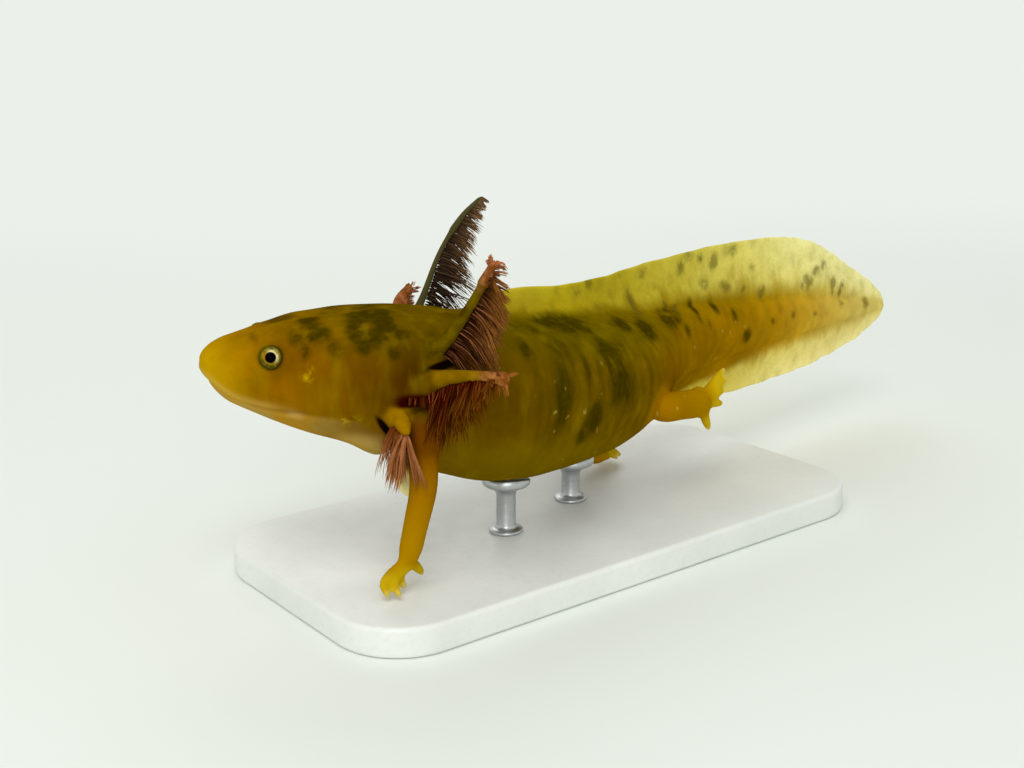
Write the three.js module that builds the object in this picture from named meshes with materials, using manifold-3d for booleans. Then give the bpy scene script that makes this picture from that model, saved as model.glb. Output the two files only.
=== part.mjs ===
// A life-size axolotl (Ambystoma mexicanum), golden with dark blotches. It hovers low in the water, its left
// hand just touching down, and is carried on a flat base by two short rods.
// Millimetres. +Z is up, +X runs along the trunk towards the tail and -Y is the animal's left side.
// The origin is the centre of the base's underside.
import * as THREE from "three";
import { mergeVertices } from "three/addons/utils/BufferGeometryUtils.js";
import Module from "manifold-3d";

const wasm = await Module();
wasm.setup();

// ---------------------------------------------------------------------------------------------------------
// Driving dimensions. Stations are distances along the midline from the snout.
// ---------------------------------------------------------------------------------------------------------
const LENGTH = 222;
const EYE = 11.9;
const EYE_RADIUS = 2.1;
const MOUTH_CORNER = 19;
const HEAD_END = 38;
const NECK_END = 54;
const BELLY = 80; // the fullest part of the trunk, over the base's centre
const TRUNK_END = 113;
const TAIL_ENDS = [145, 182, LENGTH - 1.5];
const BELLY_HEIGHT = 35; // midline above the floor at BELLY
const BASE = { length: 132, width: 64, height: 6, corner: 14, edge: 1 };
const ROD = { radius: 2, cup: 5, stations: [62, 86] };
const GAP = 0.3; // clearance between pieces that meet
const BODY_SIDES = 20;
const FILAMENTS = 7; // in each of a gill's two rows

const degrees = THREE.MathUtils.degToRad;
const lerp = THREE.MathUtils.lerp;
const vector = (x, y, z) => new THREE.Vector3(x, y, z);

// ---------------------------------------------------------------------------------------------------------
// Smooth profiles, lofts and solids
// ---------------------------------------------------------------------------------------------------------

// A smooth function through rows of [station, value], level beyond both ends.
function profile(rows) {
  const slope = (i) => {
    const a = rows[Math.max(i - 1, 0)];
    const b = rows[Math.min(i + 1, rows.length - 1)];
    return (b[1] - a[1]) / (b[0] - a[0]);
  };
  return (s) => {
    if (s <= rows[0][0]) return rows[0][1];
    if (s >= rows.at(-1)[0]) return rows.at(-1)[1];
    const i = rows.findIndex((row) => row[0] > s) - 1;
    const [s0, v0] = rows[i];
    const [s1, v1] = rows[i + 1];
    const span = s1 - s0;
    const t = (s - s0) / span;
    const start = (1 + 2 * t) * (1 - t) ** 2 * v0 + t * (1 - t) ** 2 * span * slope(i);
    return start + t * t * (3 - 2 * t) * v1 - t * t * (1 - t) * span * slope(i + 1);
  };
}

// A closed geometry through rings of equally many points, with a fan over each end.
function loft(rings) {
  const count = rings[0].length;
  const points = rings.flat();
  const faces = [];
  for (let i = 0; i + 1 < rings.length; i++) {
    for (let j = 0; j < count; j++) {
      const a = i * count + j;
      const b = i * count + ((j + 1) % count);
      faces.push(a, a + count, b + count, a, b + count, b);
    }
  }
  for (const [ring, turned] of [[0, false], [rings.length - 1, true]]) {
    const middle = points.length;
    const sum = rings[ring].reduce((total, point) => total.add(point), vector(0, 0, 0));
    points.push(sum.divideScalar(count));
    for (let j = 0; j < count; j++) {
      const a = ring * count + j;
      const b = ring * count + ((j + 1) % count);
      faces.push(middle, turned ? b : a, turned ? a : b);
    }
  }
  return new THREE.BufferGeometry().setFromPoints(points).setIndex(faces);
}

// A geometry as a solid that joins and cuts. One that comes out inside out is turned.
function solidOf(geometry) {
  const bare = geometry.clone();
  bare.deleteAttribute("normal");
  bare.deleteAttribute("uv");
  const merged = mergeVertices(bare, 1e-4);
  const vertProperties = merged.attributes.position.array;
  const triVerts = new Uint32Array(merged.index.array);
  const solid = new wasm.Manifold(new wasm.Mesh({ numProp: 3, vertProperties, triVerts }));
  if (solid.volume() > 0) return solid;
  return new wasm.Manifold(new wasm.Mesh({ numProp: 3, vertProperties, triVerts: triVerts.reverse() }));
}

// The largest body of a solid, as a geometry.
function geometryOf(solid) {
  const largest = solid.decompose().sort((a, b) => b.volume() - a.volume())[0];
  const { vertProperties, triVerts } = largest.getMesh();
  const geometry = new THREE.BufferGeometry();
  geometry.setAttribute("position", new THREE.BufferAttribute(vertProperties, 3));
  return geometry.setIndex(new THREE.BufferAttribute(triVerts, 1));
}

// A tube along a curve. radii(t) gives [across, thick], and thick lies along the flat direction.
function tube(curve, radii, flat, { sides = 8, steps = 5, from = 0, to = 1, grow = 0 } = {}) {
  const rings = [];
  for (let i = 0; i <= steps; i++) {
    const t = lerp(from, to, i / steps);
    const along = curve.getTangent(t);
    const across = vector(0, 0, 0).crossVectors(along, flat).normalize();
    const thick = vector(0, 0, 0).crossVectors(across, along);
    const [wide, high] = radii(t);
    rings.push(Array.from({ length: sides }, (_, j) => {
      const turn = (2 * Math.PI * j) / sides;
      const point = curve.getPoint(t).addScaledVector(across, (wide + grow) * Math.cos(turn));
      return point.addScaledVector(thick, (high + grow) * Math.sin(turn));
    }));
  }
  return solidOf(loft(rings));
}

const curveThrough = (points) => new THREE.CatmullRomCurve3(points, false, "centripetal");
const joined = (solids) => solids.reduce((whole, solid) => whole.add(solid));

// ---------------------------------------------------------------------------------------------------------
// The midline: the head carried up and turned to the right, the trunk and tail swinging back the same way
// ---------------------------------------------------------------------------------------------------------
const yaw = profile([[0, -19], [40, -25], [62, 12], [109, 13], [150, 8], [LENGTH, 4]]);
const pitch = profile([[0, -3], [40, -10], [62, -13], [109, 0], [150, -3], [LENGTH, -5]]);
const roll = profile([[0, -0.5], [40, -0.5], [80, 0]]);

// Which way the midline runs at a station, snout to tail.
function heading(s) {
  const [turn, rise] = [degrees(yaw(s)), degrees(pitch(s))];
  return vector(Math.cos(rise) * Math.cos(turn), Math.cos(rise) * Math.sin(turn), Math.sin(rise));
}

const STEP = 0.5;
const MARGIN = 4; // the midline is worked out a little past both ends
function walk(from, to) {
  const places = [vector(0, 0, BELLY_HEIGHT)];
  const sign = Math.sign(to - from);
  for (let i = 0; i < Math.abs(to - from) / STEP; i++) {
    const middle = from + sign * (i + 0.5) * STEP;
    places.push(places.at(-1).clone().addScaledVector(heading(middle), sign * STEP));
  }
  return places;
}
const forward = walk(BELLY, -MARGIN);
const aft = walk(BELLY, LENGTH + MARGIN);

// The midline's place and directions at a station. Left is the animal's left.
function frameAt(s) {
  const track = s < BELLY ? forward : aft;
  const k = Math.abs(s - BELLY) / STEP;
  const i = Math.min(Math.floor(k), track.length - 2);
  const place = track[i].clone().lerp(track[i + 1], k - i);
  const along = heading(s);
  const level = vector(along.y, -along.x, 0).normalize();
  const rise = vector(0, 0, 0).crossVectors(level, along);
  const turn = degrees(roll(s));
  const left = level.clone().multiplyScalar(Math.cos(turn)).addScaledVector(rise, -Math.sin(turn));
  const up = rise.clone().multiplyScalar(Math.cos(turn)).addScaledVector(level, Math.sin(turn));
  return { place, along, left, up };
}

// A point given from the midline: a station, then how far back, to the left and up.
function pointAt(s, back, left, up) {
  const frame = frameAt(s);
  return frame.place.addScaledVector(frame.along, back).addScaledVector(frame.left, left)
    .addScaledVector(frame.up, up);
}

// ---------------------------------------------------------------------------------------------------------
// The body: half width, height above and depth below the midline
// ---------------------------------------------------------------------------------------------------------
const halfWidth = profile([
  [0, 7.4], [5, 9.7], [12.5, 11.7], [20, 14.9], [28, 17.3], [34, 17.6], [40, 14.8], [48, 13.6], [60, 15.8],
  [80, 17.5], [96, 17], [109, 12.2], [119, 8.8], [140, 5.6], [170, 3.6], [200, 2], [LENGTH, 0.8],
]);
const above = profile([
  [0, 3.3], [4, 3.9], [8, 5.3], [12.5, 7.1], [20, 9.2], [28, 10.9], [40, 12.7], [48, 12.8], [60, 12.6],
  [80, 13.4], [96, 13.2], [109, 11], [119, 10], [140, 8.3], [170, 6.4], [200, 3.8], [LENGTH, 0.9],
]);
const below = profile([
  [0, 4], [5, 6.8], [12.5, 10.1], [20, 12.2], [28, 13.6], [34, 15.5], [40, 15.4], [48, 19], [60, 20.3],
  [80, 18.8], [96, 16.9], [109, 12.9], [119, 10], [140, 8], [170, 5.8], [200, 3.2], [LENGTH, 0.9],
]);
const squareness = profile([[0, 2.3], [20, 2.5], [34, 2.4], [48, 2.1], [119, 2]]);
const NOSE = 5.5; // length of the rounded snout
const rounded = (s) => Math.sqrt(1 - (1 - Math.min(Math.max(s, 0) / NOSE, 1)) ** 2);

function bodyRing(s, grow = 0) {
  const power = (x) => Math.sign(x) * Math.abs(x) ** (2 / squareness(s));
  const round = rounded(s);
  return Array.from({ length: BODY_SIDES }, (_, j) => {
    const turn = (2 * Math.PI * j) / BODY_SIDES;
    const height = (Math.sin(turn) > 0 ? above(s) : below(s)) * round + grow;
    const width = halfWidth(s) * round + grow;
    return pointAt(s, 0, width * power(Math.cos(turn)), height * power(Math.sin(turn)));
  });
}

// Rings from one station to another, about a step apart.
function bodyRings(from, to, step, grow = 0) {
  const count = Math.max(1, Math.round((to - from) / step));
  return Array.from({ length: count + 1 }, (_, i) => bodyRing(lerp(from, to, i / count), grow));
}

const SNOUT_STATIONS = [0.2, 1, 2.6, 5, 8];
const snout = SNOUT_STATIONS.map((s) => bodyRing(s));
const piece = (from, to, step) => solidOf(loft(bodyRings(from, to, step)));
const grown = solidOf(loft(bodyRings(12, LENGTH - 3, 4, GAP)));

// ---------------------------------------------------------------------------------------------------------
// Eyes and mouth
// ---------------------------------------------------------------------------------------------------------
const EYE_RISE = 3.4;
const EYE_SET = 1.35; // how far the eye's centre lies inside the cheek
const ORBIT_RADIUS = 3;

function ball(radius, centre, across = 10, down = 7) {
  const sphere = new THREE.SphereGeometry(radius, across, down);
  return solidOf(sphere.translate(centre.x, centre.y, centre.z));
}

const eyeCentre = (side) => pointAt(EYE, 0, side * (halfWidth(EYE) - EYE_SET), EYE_RISE);
const orbit = (side) => ball(ORBIT_RADIUS, pointAt(EYE, 0, side * (halfWidth(EYE) - 2.7), EYE_RISE - 0.4));

// The mouth's height over the midline, from the snout to its corner.
const mouth = profile([[0, -2.2], [6, -5.6], [13, -6.8], [MOUTH_CORNER, -6.4]]);
const WIDE = 30;
const mouthRing = (s, rise) => [
  pointAt(s, 0, -WIDE, -WIDE), pointAt(s, 0, WIDE, -WIDE), pointAt(s, 0, WIDE, mouth(s) + rise),
  pointAt(s, 0, -WIDE, mouth(s) + rise),
];
const jawSpace = (rise, end) => solidOf(loft([-1, 2, 5, 8, 12, 16, end].map((s) => mouthRing(s, rise))));

// ---------------------------------------------------------------------------------------------------------
// Fins: thin blades that stand on the midline of the back, and under the tail
// ---------------------------------------------------------------------------------------------------------
const FIN_FOOT = 1.1; // half thickness where a fin meets the body
const FIN_EDGE = 0.3;
const backFin = profile([
  [44, 13.6], [60, 18.4], [80, 19.6], [100, 20.6], [119, 21], [140, 21.4], [165, 21.8], [183, 19.8],
  [200, 13.4], [212, 8], [LENGTH, 2.4],
]);
const tailFin = profile([
  [112, 12.6], [122, 13], [135, 14.8], [147, 16.4], [158, 16.2], [172, 15.6], [190, 13.2], [207, 9.4],
  [LENGTH, 2.4],
]);

// A blade from one station to another: inner and outer give its edges' heights over the midline.
function blade(from, to, inner, outer) {
  const foot = (s) => Math.min(FIN_FOOT, halfWidth(s) * 0.8);
  const count = Math.round((to - from) / 6);
  const rings = Array.from({ length: count + 1 }, (_, i) => {
    const s = lerp(from, to, i / count);
    const [low, high] = [inner(s), outer(s)];
    const ring = [[foot(s), low], [lerp(foot(s), FIN_EDGE, 0.7), lerp(low, high, 0.5)], [FIN_EDGE, high]];
    const mirrored = [...ring].reverse().map(([side, up]) => [-side, up]);
    return [...ring, ...mirrored].map(([side, up]) => pointAt(s, 0, side, up));
  });
  return solidOf(loft(rings));
}

// ---------------------------------------------------------------------------------------------------------
// Limbs
// ---------------------------------------------------------------------------------------------------------
const PALM_THICK = 1.5;
const DIGIT = [1.25, 0.5]; // radius at the foot and the tip of a digit

// A limb from a root inside the body to the tips of its digits. Its knee is the elbow or the knee, and thick
// gives the radius at the root, the knee and the ankle, and the palm's half width.
function limb({ root, knee, ankle, palm, tips, thick, palmNormal }) {
  const [atRoot, atKnee, atAnkle, spread] = thick;
  const thigh = new THREE.LineCurve3(root, knee);
  const shin = new THREE.LineCurve3(knee, ankle);
  const sideways = vector(0, 0, 0).crossVectors(thigh.getTangent(0), shin.getTangent(0)).normalize();
  const even = (from, to) => (t) => [lerp(from, to, t), lerp(from, to, t)];
  const upperWith = (grow) => joined([
    tube(thigh, even(atRoot, atKnee), sideways, { steps: 1, grow }), ball(atKnee + grow, knee, 8, 4),
  ]);
  const palmCurve = curveThrough([ankle, ankle.clone().lerp(palm, 0.5), palm]);
  const palmRadii = (t) => {
    const end = Math.sqrt(Math.max(1 - Math.max((t - 0.6) / 0.42, 0) ** 2, 0.05));
    const wide = lerp(atAnkle, spread, Math.min(t * 1.6, 1));
    const high = lerp(atAnkle, PALM_THICK, Math.min(t * 1.4, 1));
    return [wide * end, high * end];
  };
  const palmWith = (grow) => tube(palmCurve, palmRadii, palmNormal, { sides: 6, steps: 4, grow });
  const hand = [palmWith(0)];
  for (const tip of tips) {
    const start = palm.clone().lerp(ankle, 0.35).lerp(tip, 0.12);
    const middle = start.clone().lerp(tip, 0.55).addScaledVector(palmNormal, 0.5);
    const radii = (t) => [lerp(DIGIT[0], DIGIT[1], t), lerp(DIGIT[0], DIGIT[1], t) * 0.85];
    hand.push(tube(curveThrough([start, middle, tip]), radii, palmNormal, { sides: 5, steps: 2 }));
  }
  const end = 1 - GAP / shin.getLength();
  const lower = tube(shin, even(atKnee, atAnkle), sideways, { steps: 1, to: end });
  return {
    upper: upperWith(0).subtract(grown),
    lower: lower.subtract(upperWith(GAP)).subtract(palmWith(GAP)).subtract(grown),
    hand: joined(hand),
    room: upperWith(GAP).add(tube(shin, even(atKnee, atAnkle), sideways, { steps: 1, grow: GAP })),
  };
}

const FLOOR = BASE.height + GAP;
const TOUCHING = FLOOR + 0.45;
const places = (rows) => rows.map((row) => vector(...row));

const limbs = {
  front_leg_left: limb({
    root: pointAt(41, 0, 14, -6.6),
    knee: vector(-47.2, -18.9, 25.9),
    ankle: vector(-49.5, -17.4, 13.8),
    palm: vector(-49.9, -16.3, 9.8),
    tips: places([
      [-55.8, -18.6, TOUCHING], [-53.2, -20.4, TOUCHING], [-50.2, -17, TOUCHING], [-45, -15.2, 7.4],
    ]),
    thick: [3.2, 2.6, 2, 2.6],
    palmNormal: vector(0.3, -0.72, 0.62).normalize(),
  }),
  front_leg_right: limb({
    root: pointAt(45, 0, -8, -9),
    knee: vector(-29.5, 21.5, 27),
    ankle: vector(-30.5, 15.7, 18.8),
    palm: vector(-31.4, 12.5, 15.3),
    tips: places([[-32.2, 9.6, 12.8], [-30.9, 9.7, 12.2], [-29.1, 10.9, 12.3], [-27.9, 11.8, 13.4]]),
    thick: [3.2, 2.6, 2, 2.6],
    palmNormal: vector(-0.45, -0.55, 0.7).normalize(),
  }),
  hind_leg_left: limb({
    root: pointAt(105, 0, 6, -6.5),
    knee: vector(20.2, -11.9, 27.4),
    ankle: vector(30.8, -9.9, 25.8),
    palm: vector(36, -8.9, 25.3),
    tips: places([
      [35.9, -9.8, 19], [40.9, -9.6, 24], [42.6, -9.4, 26.8], [43.8, -8.4, 28.8], [43.8, -6.8, 30.6],
    ]),
    thick: [3.9, 3.4, 2.7, 3.9],
    palmNormal: vector(-0.62, -0.72, 0.3).normalize(),
  }),
  hind_leg_right: limb({
    root: pointAt(105, 0, -6, -6.5),
    knee: vector(22, 24.5, 21),
    ankle: vector(22.8, 14.4, 10.6),
    palm: vector(27, 14.8, 8.9),
    tips: places([
      [30.8, 20.2, 7.6], [32.6, 18.8, 7.6], [33.4, 16.8, 7.6], [32.8, 14.6, 7.6], [30.2, 12.8, 7.6],
    ]),
    thick: [3.9, 3.4, 2.7, 3.9],
    palmNormal: vector(0.05, -0.1, 1).normalize(),
  }),
};

// ---------------------------------------------------------------------------------------------------------
// Gills: three feathery stalks on each side of the neck, with two rows of filaments behind or below
// ---------------------------------------------------------------------------------------------------------
const GILL_THICK = [3.1, 0.8];
const FILAMENT_THICK = [0.6, 0.34];

// middle and tip are given from the root, as [back, out, up]; hang is the way the filaments point.
function gill({ station, side, out, up, middle, tip, hang, long }, grow = 0) {
  const at = (b, o, u) => pointAt(station, b, side * (out + o), up + u);
  const root = at(-1, -4, -0.5);
  const curve = curveThrough([root, at(0, 0, 0), at(...middle), at(...tip)]);
  const origin = at(0, 0, 0);
  const fall = at(...hang).sub(origin).normalize();
  const girth = (t) => {
    const r = lerp(GILL_THICK[0], GILL_THICK[1], t ** 0.8);
    return [r * 0.8, r];
  };
  const pieces = [tube(curve, girth, fall, { sides: 6, steps: 6, grow })];
  const fluff = profile([[0, 0.75], [0.35, 1], [0.7, 0.75], [1, 0.35]]);
  for (let i = 0; i < FILAMENTS; i++) {
    const t = lerp(0.26, 0.97, i / (FILAMENTS - 1));
    const along = curve.getTangent(t);
    const across = vector(0, 0, 0).crossVectors(along, fall).normalize();
    for (const row of [-1, 1]) {
      const spread = across.clone().multiplyScalar(row * 0.42);
      const way = fall.clone().add(spread).addScaledVector(along, 0.25 + 0.35 * t).normalize();
      const start = curve.getPoint(t);
      const length = long * fluff(t);
      const half = start.clone().addScaledVector(way, length * 0.55);
      const end = start.clone().addScaledVector(way, length).addScaledVector(along, length * 0.12);
      const radii = (u) => [lerp(...FILAMENT_THICK, u) + grow, lerp(...FILAMENT_THICK, u) + grow];
      pieces.push(tube(curveThrough([start, half, end]), radii, across, { sides: 3, steps: 2 }));
    }
  }
  return joined(pieces);
}

const GILLS = {
  gill_left_1: {
    station: 40.4, side: 1, out: 11.8, up: 6.8, middle: [4.4, 5.5, 9.2], tip: [7.2, 8.1, 20.6],
    hang: [1, 0.2, -0.35], long: 7.4,
  },
  gill_left_2: {
    station: 41, side: 1, out: 13.5, up: 2.4, middle: [4.5, 6.6, 2.4], tip: [10.4, 12.4, 4.2],
    hang: [0.45, 0.1, -1], long: 10.4,
  },
  gill_left_3: {
    station: 35.6, side: 1, out: 13.5, up: -4.6, middle: [0.3, 4.1, -0.3], tip: [1.4, 8.6, -1.4],
    hang: [-0.45, 0.3, -1], long: 8.4,
  },
  gill_right_1: {
    station: 40.6, side: -1, out: 11.5, up: 8, middle: [5.2, 4, 12.8], tip: [11.6, 6.1, 25.1],
    hang: [1, 0.1, -0.1], long: 9.5,
  },
  gill_right_2: {
    station: 41, side: -1, out: 13.5, up: 2, middle: [-0.5, 7.9, 5.4], tip: [0.4, 12.6, 9.4],
    hang: [1, 0.1, -0.4], long: 5,
  },
  gill_right_3: {
    station: 37, side: -1, out: 14, up: -5, middle: [1.2, 6, -1.2], tip: [4, 10, -3],
    hang: [0.35, 0.1, -1], long: 8.4,
  },
};

// ---------------------------------------------------------------------------------------------------------
// The stand
// ---------------------------------------------------------------------------------------------------------
function basePlate() {
  const { length, width, height, corner, edge } = BASE;
  const [a, b] = [length / 2 - edge, width / 2 - edge];
  const shape = new THREE.Shape();
  shape.moveTo(-a + corner, -b).lineTo(a - corner, -b);
  shape.absarc(a - corner, -b + corner, corner, -Math.PI / 2, 0, false);
  shape.absarc(a - corner, b - corner, corner, 0, Math.PI / 2, false);
  shape.absarc(-a + corner, b - corner, corner, Math.PI / 2, Math.PI, false);
  shape.absarc(-a + corner, -b + corner, corner, Math.PI, 1.5 * Math.PI, false);
  const plate = new THREE.ExtrudeGeometry(shape, {
    depth: height - 2 * edge, bevelSize: edge, bevelThickness: edge, bevelSegments: 1, curveSegments: 4,
  });
  return solidOf(plate.translate(0, 0, edge));
}

// A rod with a shallow cup on top, cut to the belly it holds.
function rod(station) {
  const { place } = frameAt(station);
  const top = place.z - below(station) + 4;
  const outline = [
    [0, BASE.height], [ROD.radius + 1.5, BASE.height], [ROD.radius + 1.5, BASE.height + 0.8],
    [ROD.radius, BASE.height + 1.6], [ROD.radius, top - 8], [ROD.cup, top - 5.5], [ROD.cup, top], [0, top],
  ].map(([r, z]) => new THREE.Vector2(r, z));
  const turned = new THREE.LatheGeometry(outline, 12).rotateX(Math.PI / 2);
  return solidOf(turned.translate(place.x, place.y, 0)).subtract(grown);
}

// ---------------------------------------------------------------------------------------------------------
// The scene graph
// ---------------------------------------------------------------------------------------------------------
const paint = (color, roughness) => new THREE.MeshStandardMaterial({ color, roughness, metalness: 0 });
const group = new THREE.Group();
function put(name, solid, color, roughness = 0.4) {
  const mesh = new THREE.Mesh(geometryOf(solid), paint(color, roughness));
  mesh.name = name;
  group.add(mesh);
}

const SKIN = 0x9c7414;
const LIMB = 0xb58420;
const FIN = 0xb9a244;
const GILL = 0x6a2c1c;

const headLoft = solidOf(loft([...snout, ...bodyRings(11, HEAD_END, 4)]));
const headWhole = joined([headLoft, orbit(1), orbit(-1)])
  .subtract(ball(EYE_RADIUS + GAP, eyeCentre(1))).subtract(ball(EYE_RADIUS + GAP, eyeCentre(-1)));
put("head", headWhole.subtract(jawSpace(GAP, MOUTH_CORNER + GAP)), SKIN);
put("lower_jaw", headLoft.intersect(jawSpace(0, MOUTH_CORNER)), SKIN);
put("eye_left", ball(EYE_RADIUS, eyeCentre(1)), 0x141008, 0.15);
put("eye_right", ball(EYE_RADIUS, eyeCentre(-1)), 0x141008, 0.15);
put("neck", piece(HEAD_END + GAP, NECK_END, 3), SKIN);
put("trunk", piece(NECK_END + GAP, TRUNK_END, 5), SKIN);
let start = TRUNK_END + GAP;
for (const [i, name] of ["tail_base", "tail_middle", "tail_tip"].entries()) {
  put(name, piece(start, TAIL_ENDS[i], 8), SKIN);
  start = TAIL_ENDS[i] + GAP;
}
put("fin_back", blade(46, TRUNK_END, (s) => above(s) + GAP, backFin), FIN);
put("fin_tail_upper", blade(TRUNK_END + GAP, LENGTH - 0.5, (s) => above(s) + GAP, backFin), FIN);
put("fin_tail_lower", blade(TRUNK_END + GAP, LENGTH - 0.5, (s) => -below(s) - GAP, (s) => -tailFin(s)), FIN);
for (const [name, { upper, lower, hand }] of Object.entries(limbs)) {
  put(name + "_upper", upper, LIMB);
  put(name + "_lower", lower, LIMB);
  put(name.replace("front_leg", "hand").replace("hind_leg", "foot"), hand, LIMB);
}
let taken = joined([grown, limbs.front_leg_left.room, limbs.front_leg_right.room]);
for (const [name, shape] of Object.entries(GILLS)) {
  put(name, gill(shape).subtract(taken), GILL);
  taken = taken.add(gill(shape, GAP));
}
put("stand_base", basePlate(), 0xe8e8e4, 0.35);
put("stand_rod_front", rod(ROD.stations[0]), 0xc8c8c8, 0.25);
put("stand_rod_rear", rod(ROD.stations[1]), 0xc8c8c8, 0.25);

export default group;
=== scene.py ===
# A life-size axolotl, golden with dark blotches, on a plain display stand, in the frame's own axes.
import math

import bmesh
import bpy
import numpy as np
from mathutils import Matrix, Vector


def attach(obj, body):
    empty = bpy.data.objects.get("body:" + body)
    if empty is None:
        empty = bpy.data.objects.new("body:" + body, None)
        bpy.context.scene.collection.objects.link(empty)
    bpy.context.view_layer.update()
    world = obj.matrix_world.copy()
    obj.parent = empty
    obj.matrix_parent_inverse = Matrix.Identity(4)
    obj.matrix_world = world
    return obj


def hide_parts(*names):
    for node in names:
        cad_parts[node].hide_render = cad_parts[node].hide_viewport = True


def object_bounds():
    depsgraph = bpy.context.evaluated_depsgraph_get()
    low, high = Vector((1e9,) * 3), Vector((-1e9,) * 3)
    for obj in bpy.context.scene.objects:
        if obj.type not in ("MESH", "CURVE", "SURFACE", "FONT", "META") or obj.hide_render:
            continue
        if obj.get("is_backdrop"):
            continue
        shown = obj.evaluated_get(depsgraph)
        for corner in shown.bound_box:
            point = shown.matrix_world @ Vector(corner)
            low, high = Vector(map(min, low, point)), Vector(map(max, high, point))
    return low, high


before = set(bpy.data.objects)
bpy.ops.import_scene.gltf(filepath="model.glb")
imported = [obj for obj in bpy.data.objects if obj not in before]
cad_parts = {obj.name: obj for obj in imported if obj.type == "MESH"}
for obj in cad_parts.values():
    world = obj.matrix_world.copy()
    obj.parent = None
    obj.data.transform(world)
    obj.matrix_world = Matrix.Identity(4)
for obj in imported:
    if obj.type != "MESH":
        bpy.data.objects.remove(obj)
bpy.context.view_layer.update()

scene = bpy.context.scene
scene.view_settings.view_transform = "Standard"
MM = 0.001  # the scene is in metres, and sizes are written in millimetres where nothing else is said

# ---------------------------------------------------------------------------------------------------------
# The room. A pale matt floor that fades into an even pale surround. It is staging, lit by three large soft
# lamps and a white world, and seen by a plain lens from the animal's left and a little above.
# ---------------------------------------------------------------------------------------------------------
CAMERA_AZIMUTH = math.radians(-38.2)
CAMERA_RISE = math.radians(15.8)
CAMERA_DISTANCE = 287.6
CAMERA_TARGET = Vector((-11.9, 0, 35.6))
CAMERA_LENS = 49.2
ROOM_PAINT = (236, 240, 235)
WORLD_ON_OBJECT, WORLD_SEEN = 0.66, 1.0  # how bright the world lights the object, and how it is seen
FLOOR_HALF = 3  # metres
FLOOR_FADE = (0.22, 0.6)  # metres from the middle over which the floor's shading gives way to plain paint
LAMP_AIM = (0, 0, 0.03)
# Each lamp's place and width in metres, its watts and its colour.
LAMPS = {
    "lamp_above": ((-0.35, -0.25, 0.75), 0.55, 2.4, (1, 0.99, 0.97)),
    "lamp_side": ((-0.5, -0.65, 0.3), 0.5, 1.6, (1, 0.99, 0.97)),
    "lamp_behind": ((0.35, 0.6, 0.55), 0.6, 1.5, (0.98, 0.99, 1)),
}


def paint(red, green, blue):
    """A written 0-255 colour as a shader's linear one."""
    parts = [part / 255 for part in (red, green, blue)]
    return (*[part / 12.92 if part <= 0.04045 else ((part + 0.055) / 1.055) ** 2.4 for part in parts], 1)


def add(tree, kind, inputs=None, **settings):
    """A shader node with its settings and its inputs, each a value or another node's socket."""
    made = tree.nodes.new("ShaderNode" + kind)
    for name, value in settings.items():
        setattr(made, name, value)
    for key, value in (inputs or {}).items():
        if isinstance(value, bpy.types.NodeSocket):
            tree.links.new(value, made.inputs[key])
        else:
            made.inputs[key].default_value = value
    return made


def new_surface(name, **values):
    """A material, its node tree and its shader, with plain values on the shader's own sockets."""
    material = bpy.data.materials.new(name)
    material.use_nodes = True
    tree = material.node_tree
    shader = tree.nodes["Principled BSDF"]
    for key, value in values.items():
        shader.inputs[key.replace("_", " ")].default_value = value
    return material, tree, shader


def aimed(location, target):
    """The turn that points a camera or a lamp from one place at another."""
    return (Vector(target) - Vector(location)).to_track_quat("-Z", "Y").to_euler()


back = Vector((
    math.sin(CAMERA_AZIMUTH) * math.cos(CAMERA_RISE),
    -math.cos(CAMERA_AZIMUTH) * math.cos(CAMERA_RISE),
    math.sin(CAMERA_RISE),
))
camera_data = bpy.data.cameras.new("camera")
camera_data.lens = CAMERA_LENS
camera_data.sensor_width = 36
camera_data.clip_start = 0.01
camera = bpy.data.objects.new("camera", camera_data)
scene.collection.objects.link(camera)
camera.location = (CAMERA_TARGET + back * CAMERA_DISTANCE) * MM
camera.rotation_euler = aimed(camera.location, CAMERA_TARGET * MM)
scene.camera = camera

for name, (place, width, watts, colour) in LAMPS.items():
    light = bpy.data.lights.new(name, "AREA")
    light.shape = "DISK"
    light.size = width
    light.energy = watts
    light.color = colour
    holder = bpy.data.objects.new(name, light)
    scene.collection.objects.link(holder)
    holder.location = place
    holder.rotation_euler = aimed(place, LAMP_AIM)

world = bpy.data.worlds.new("even_white")
scene.world = world
world.use_nodes = True
world_tree = world.node_tree
world_light = world_tree.nodes["Background"]
rays = add(world_tree, "LightPath").outputs
seen = rays["Is Camera Ray"]
for ray in ("Is Glossy Ray", "Is Transmission Ray"):
    seen = add(world_tree, "Math", {0: seen, 1: rays[ray]}, operation="MAXIMUM").outputs[0]
strength = add(world_tree, "MapRange", {"Value": seen, "To Min": WORLD_ON_OBJECT, "To Max": WORLD_SEEN})
world_light.inputs["Color"].default_value = paint(*ROOM_PAINT)
world_tree.links.new(strength.outputs[0], world_light.inputs["Strength"])

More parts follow.
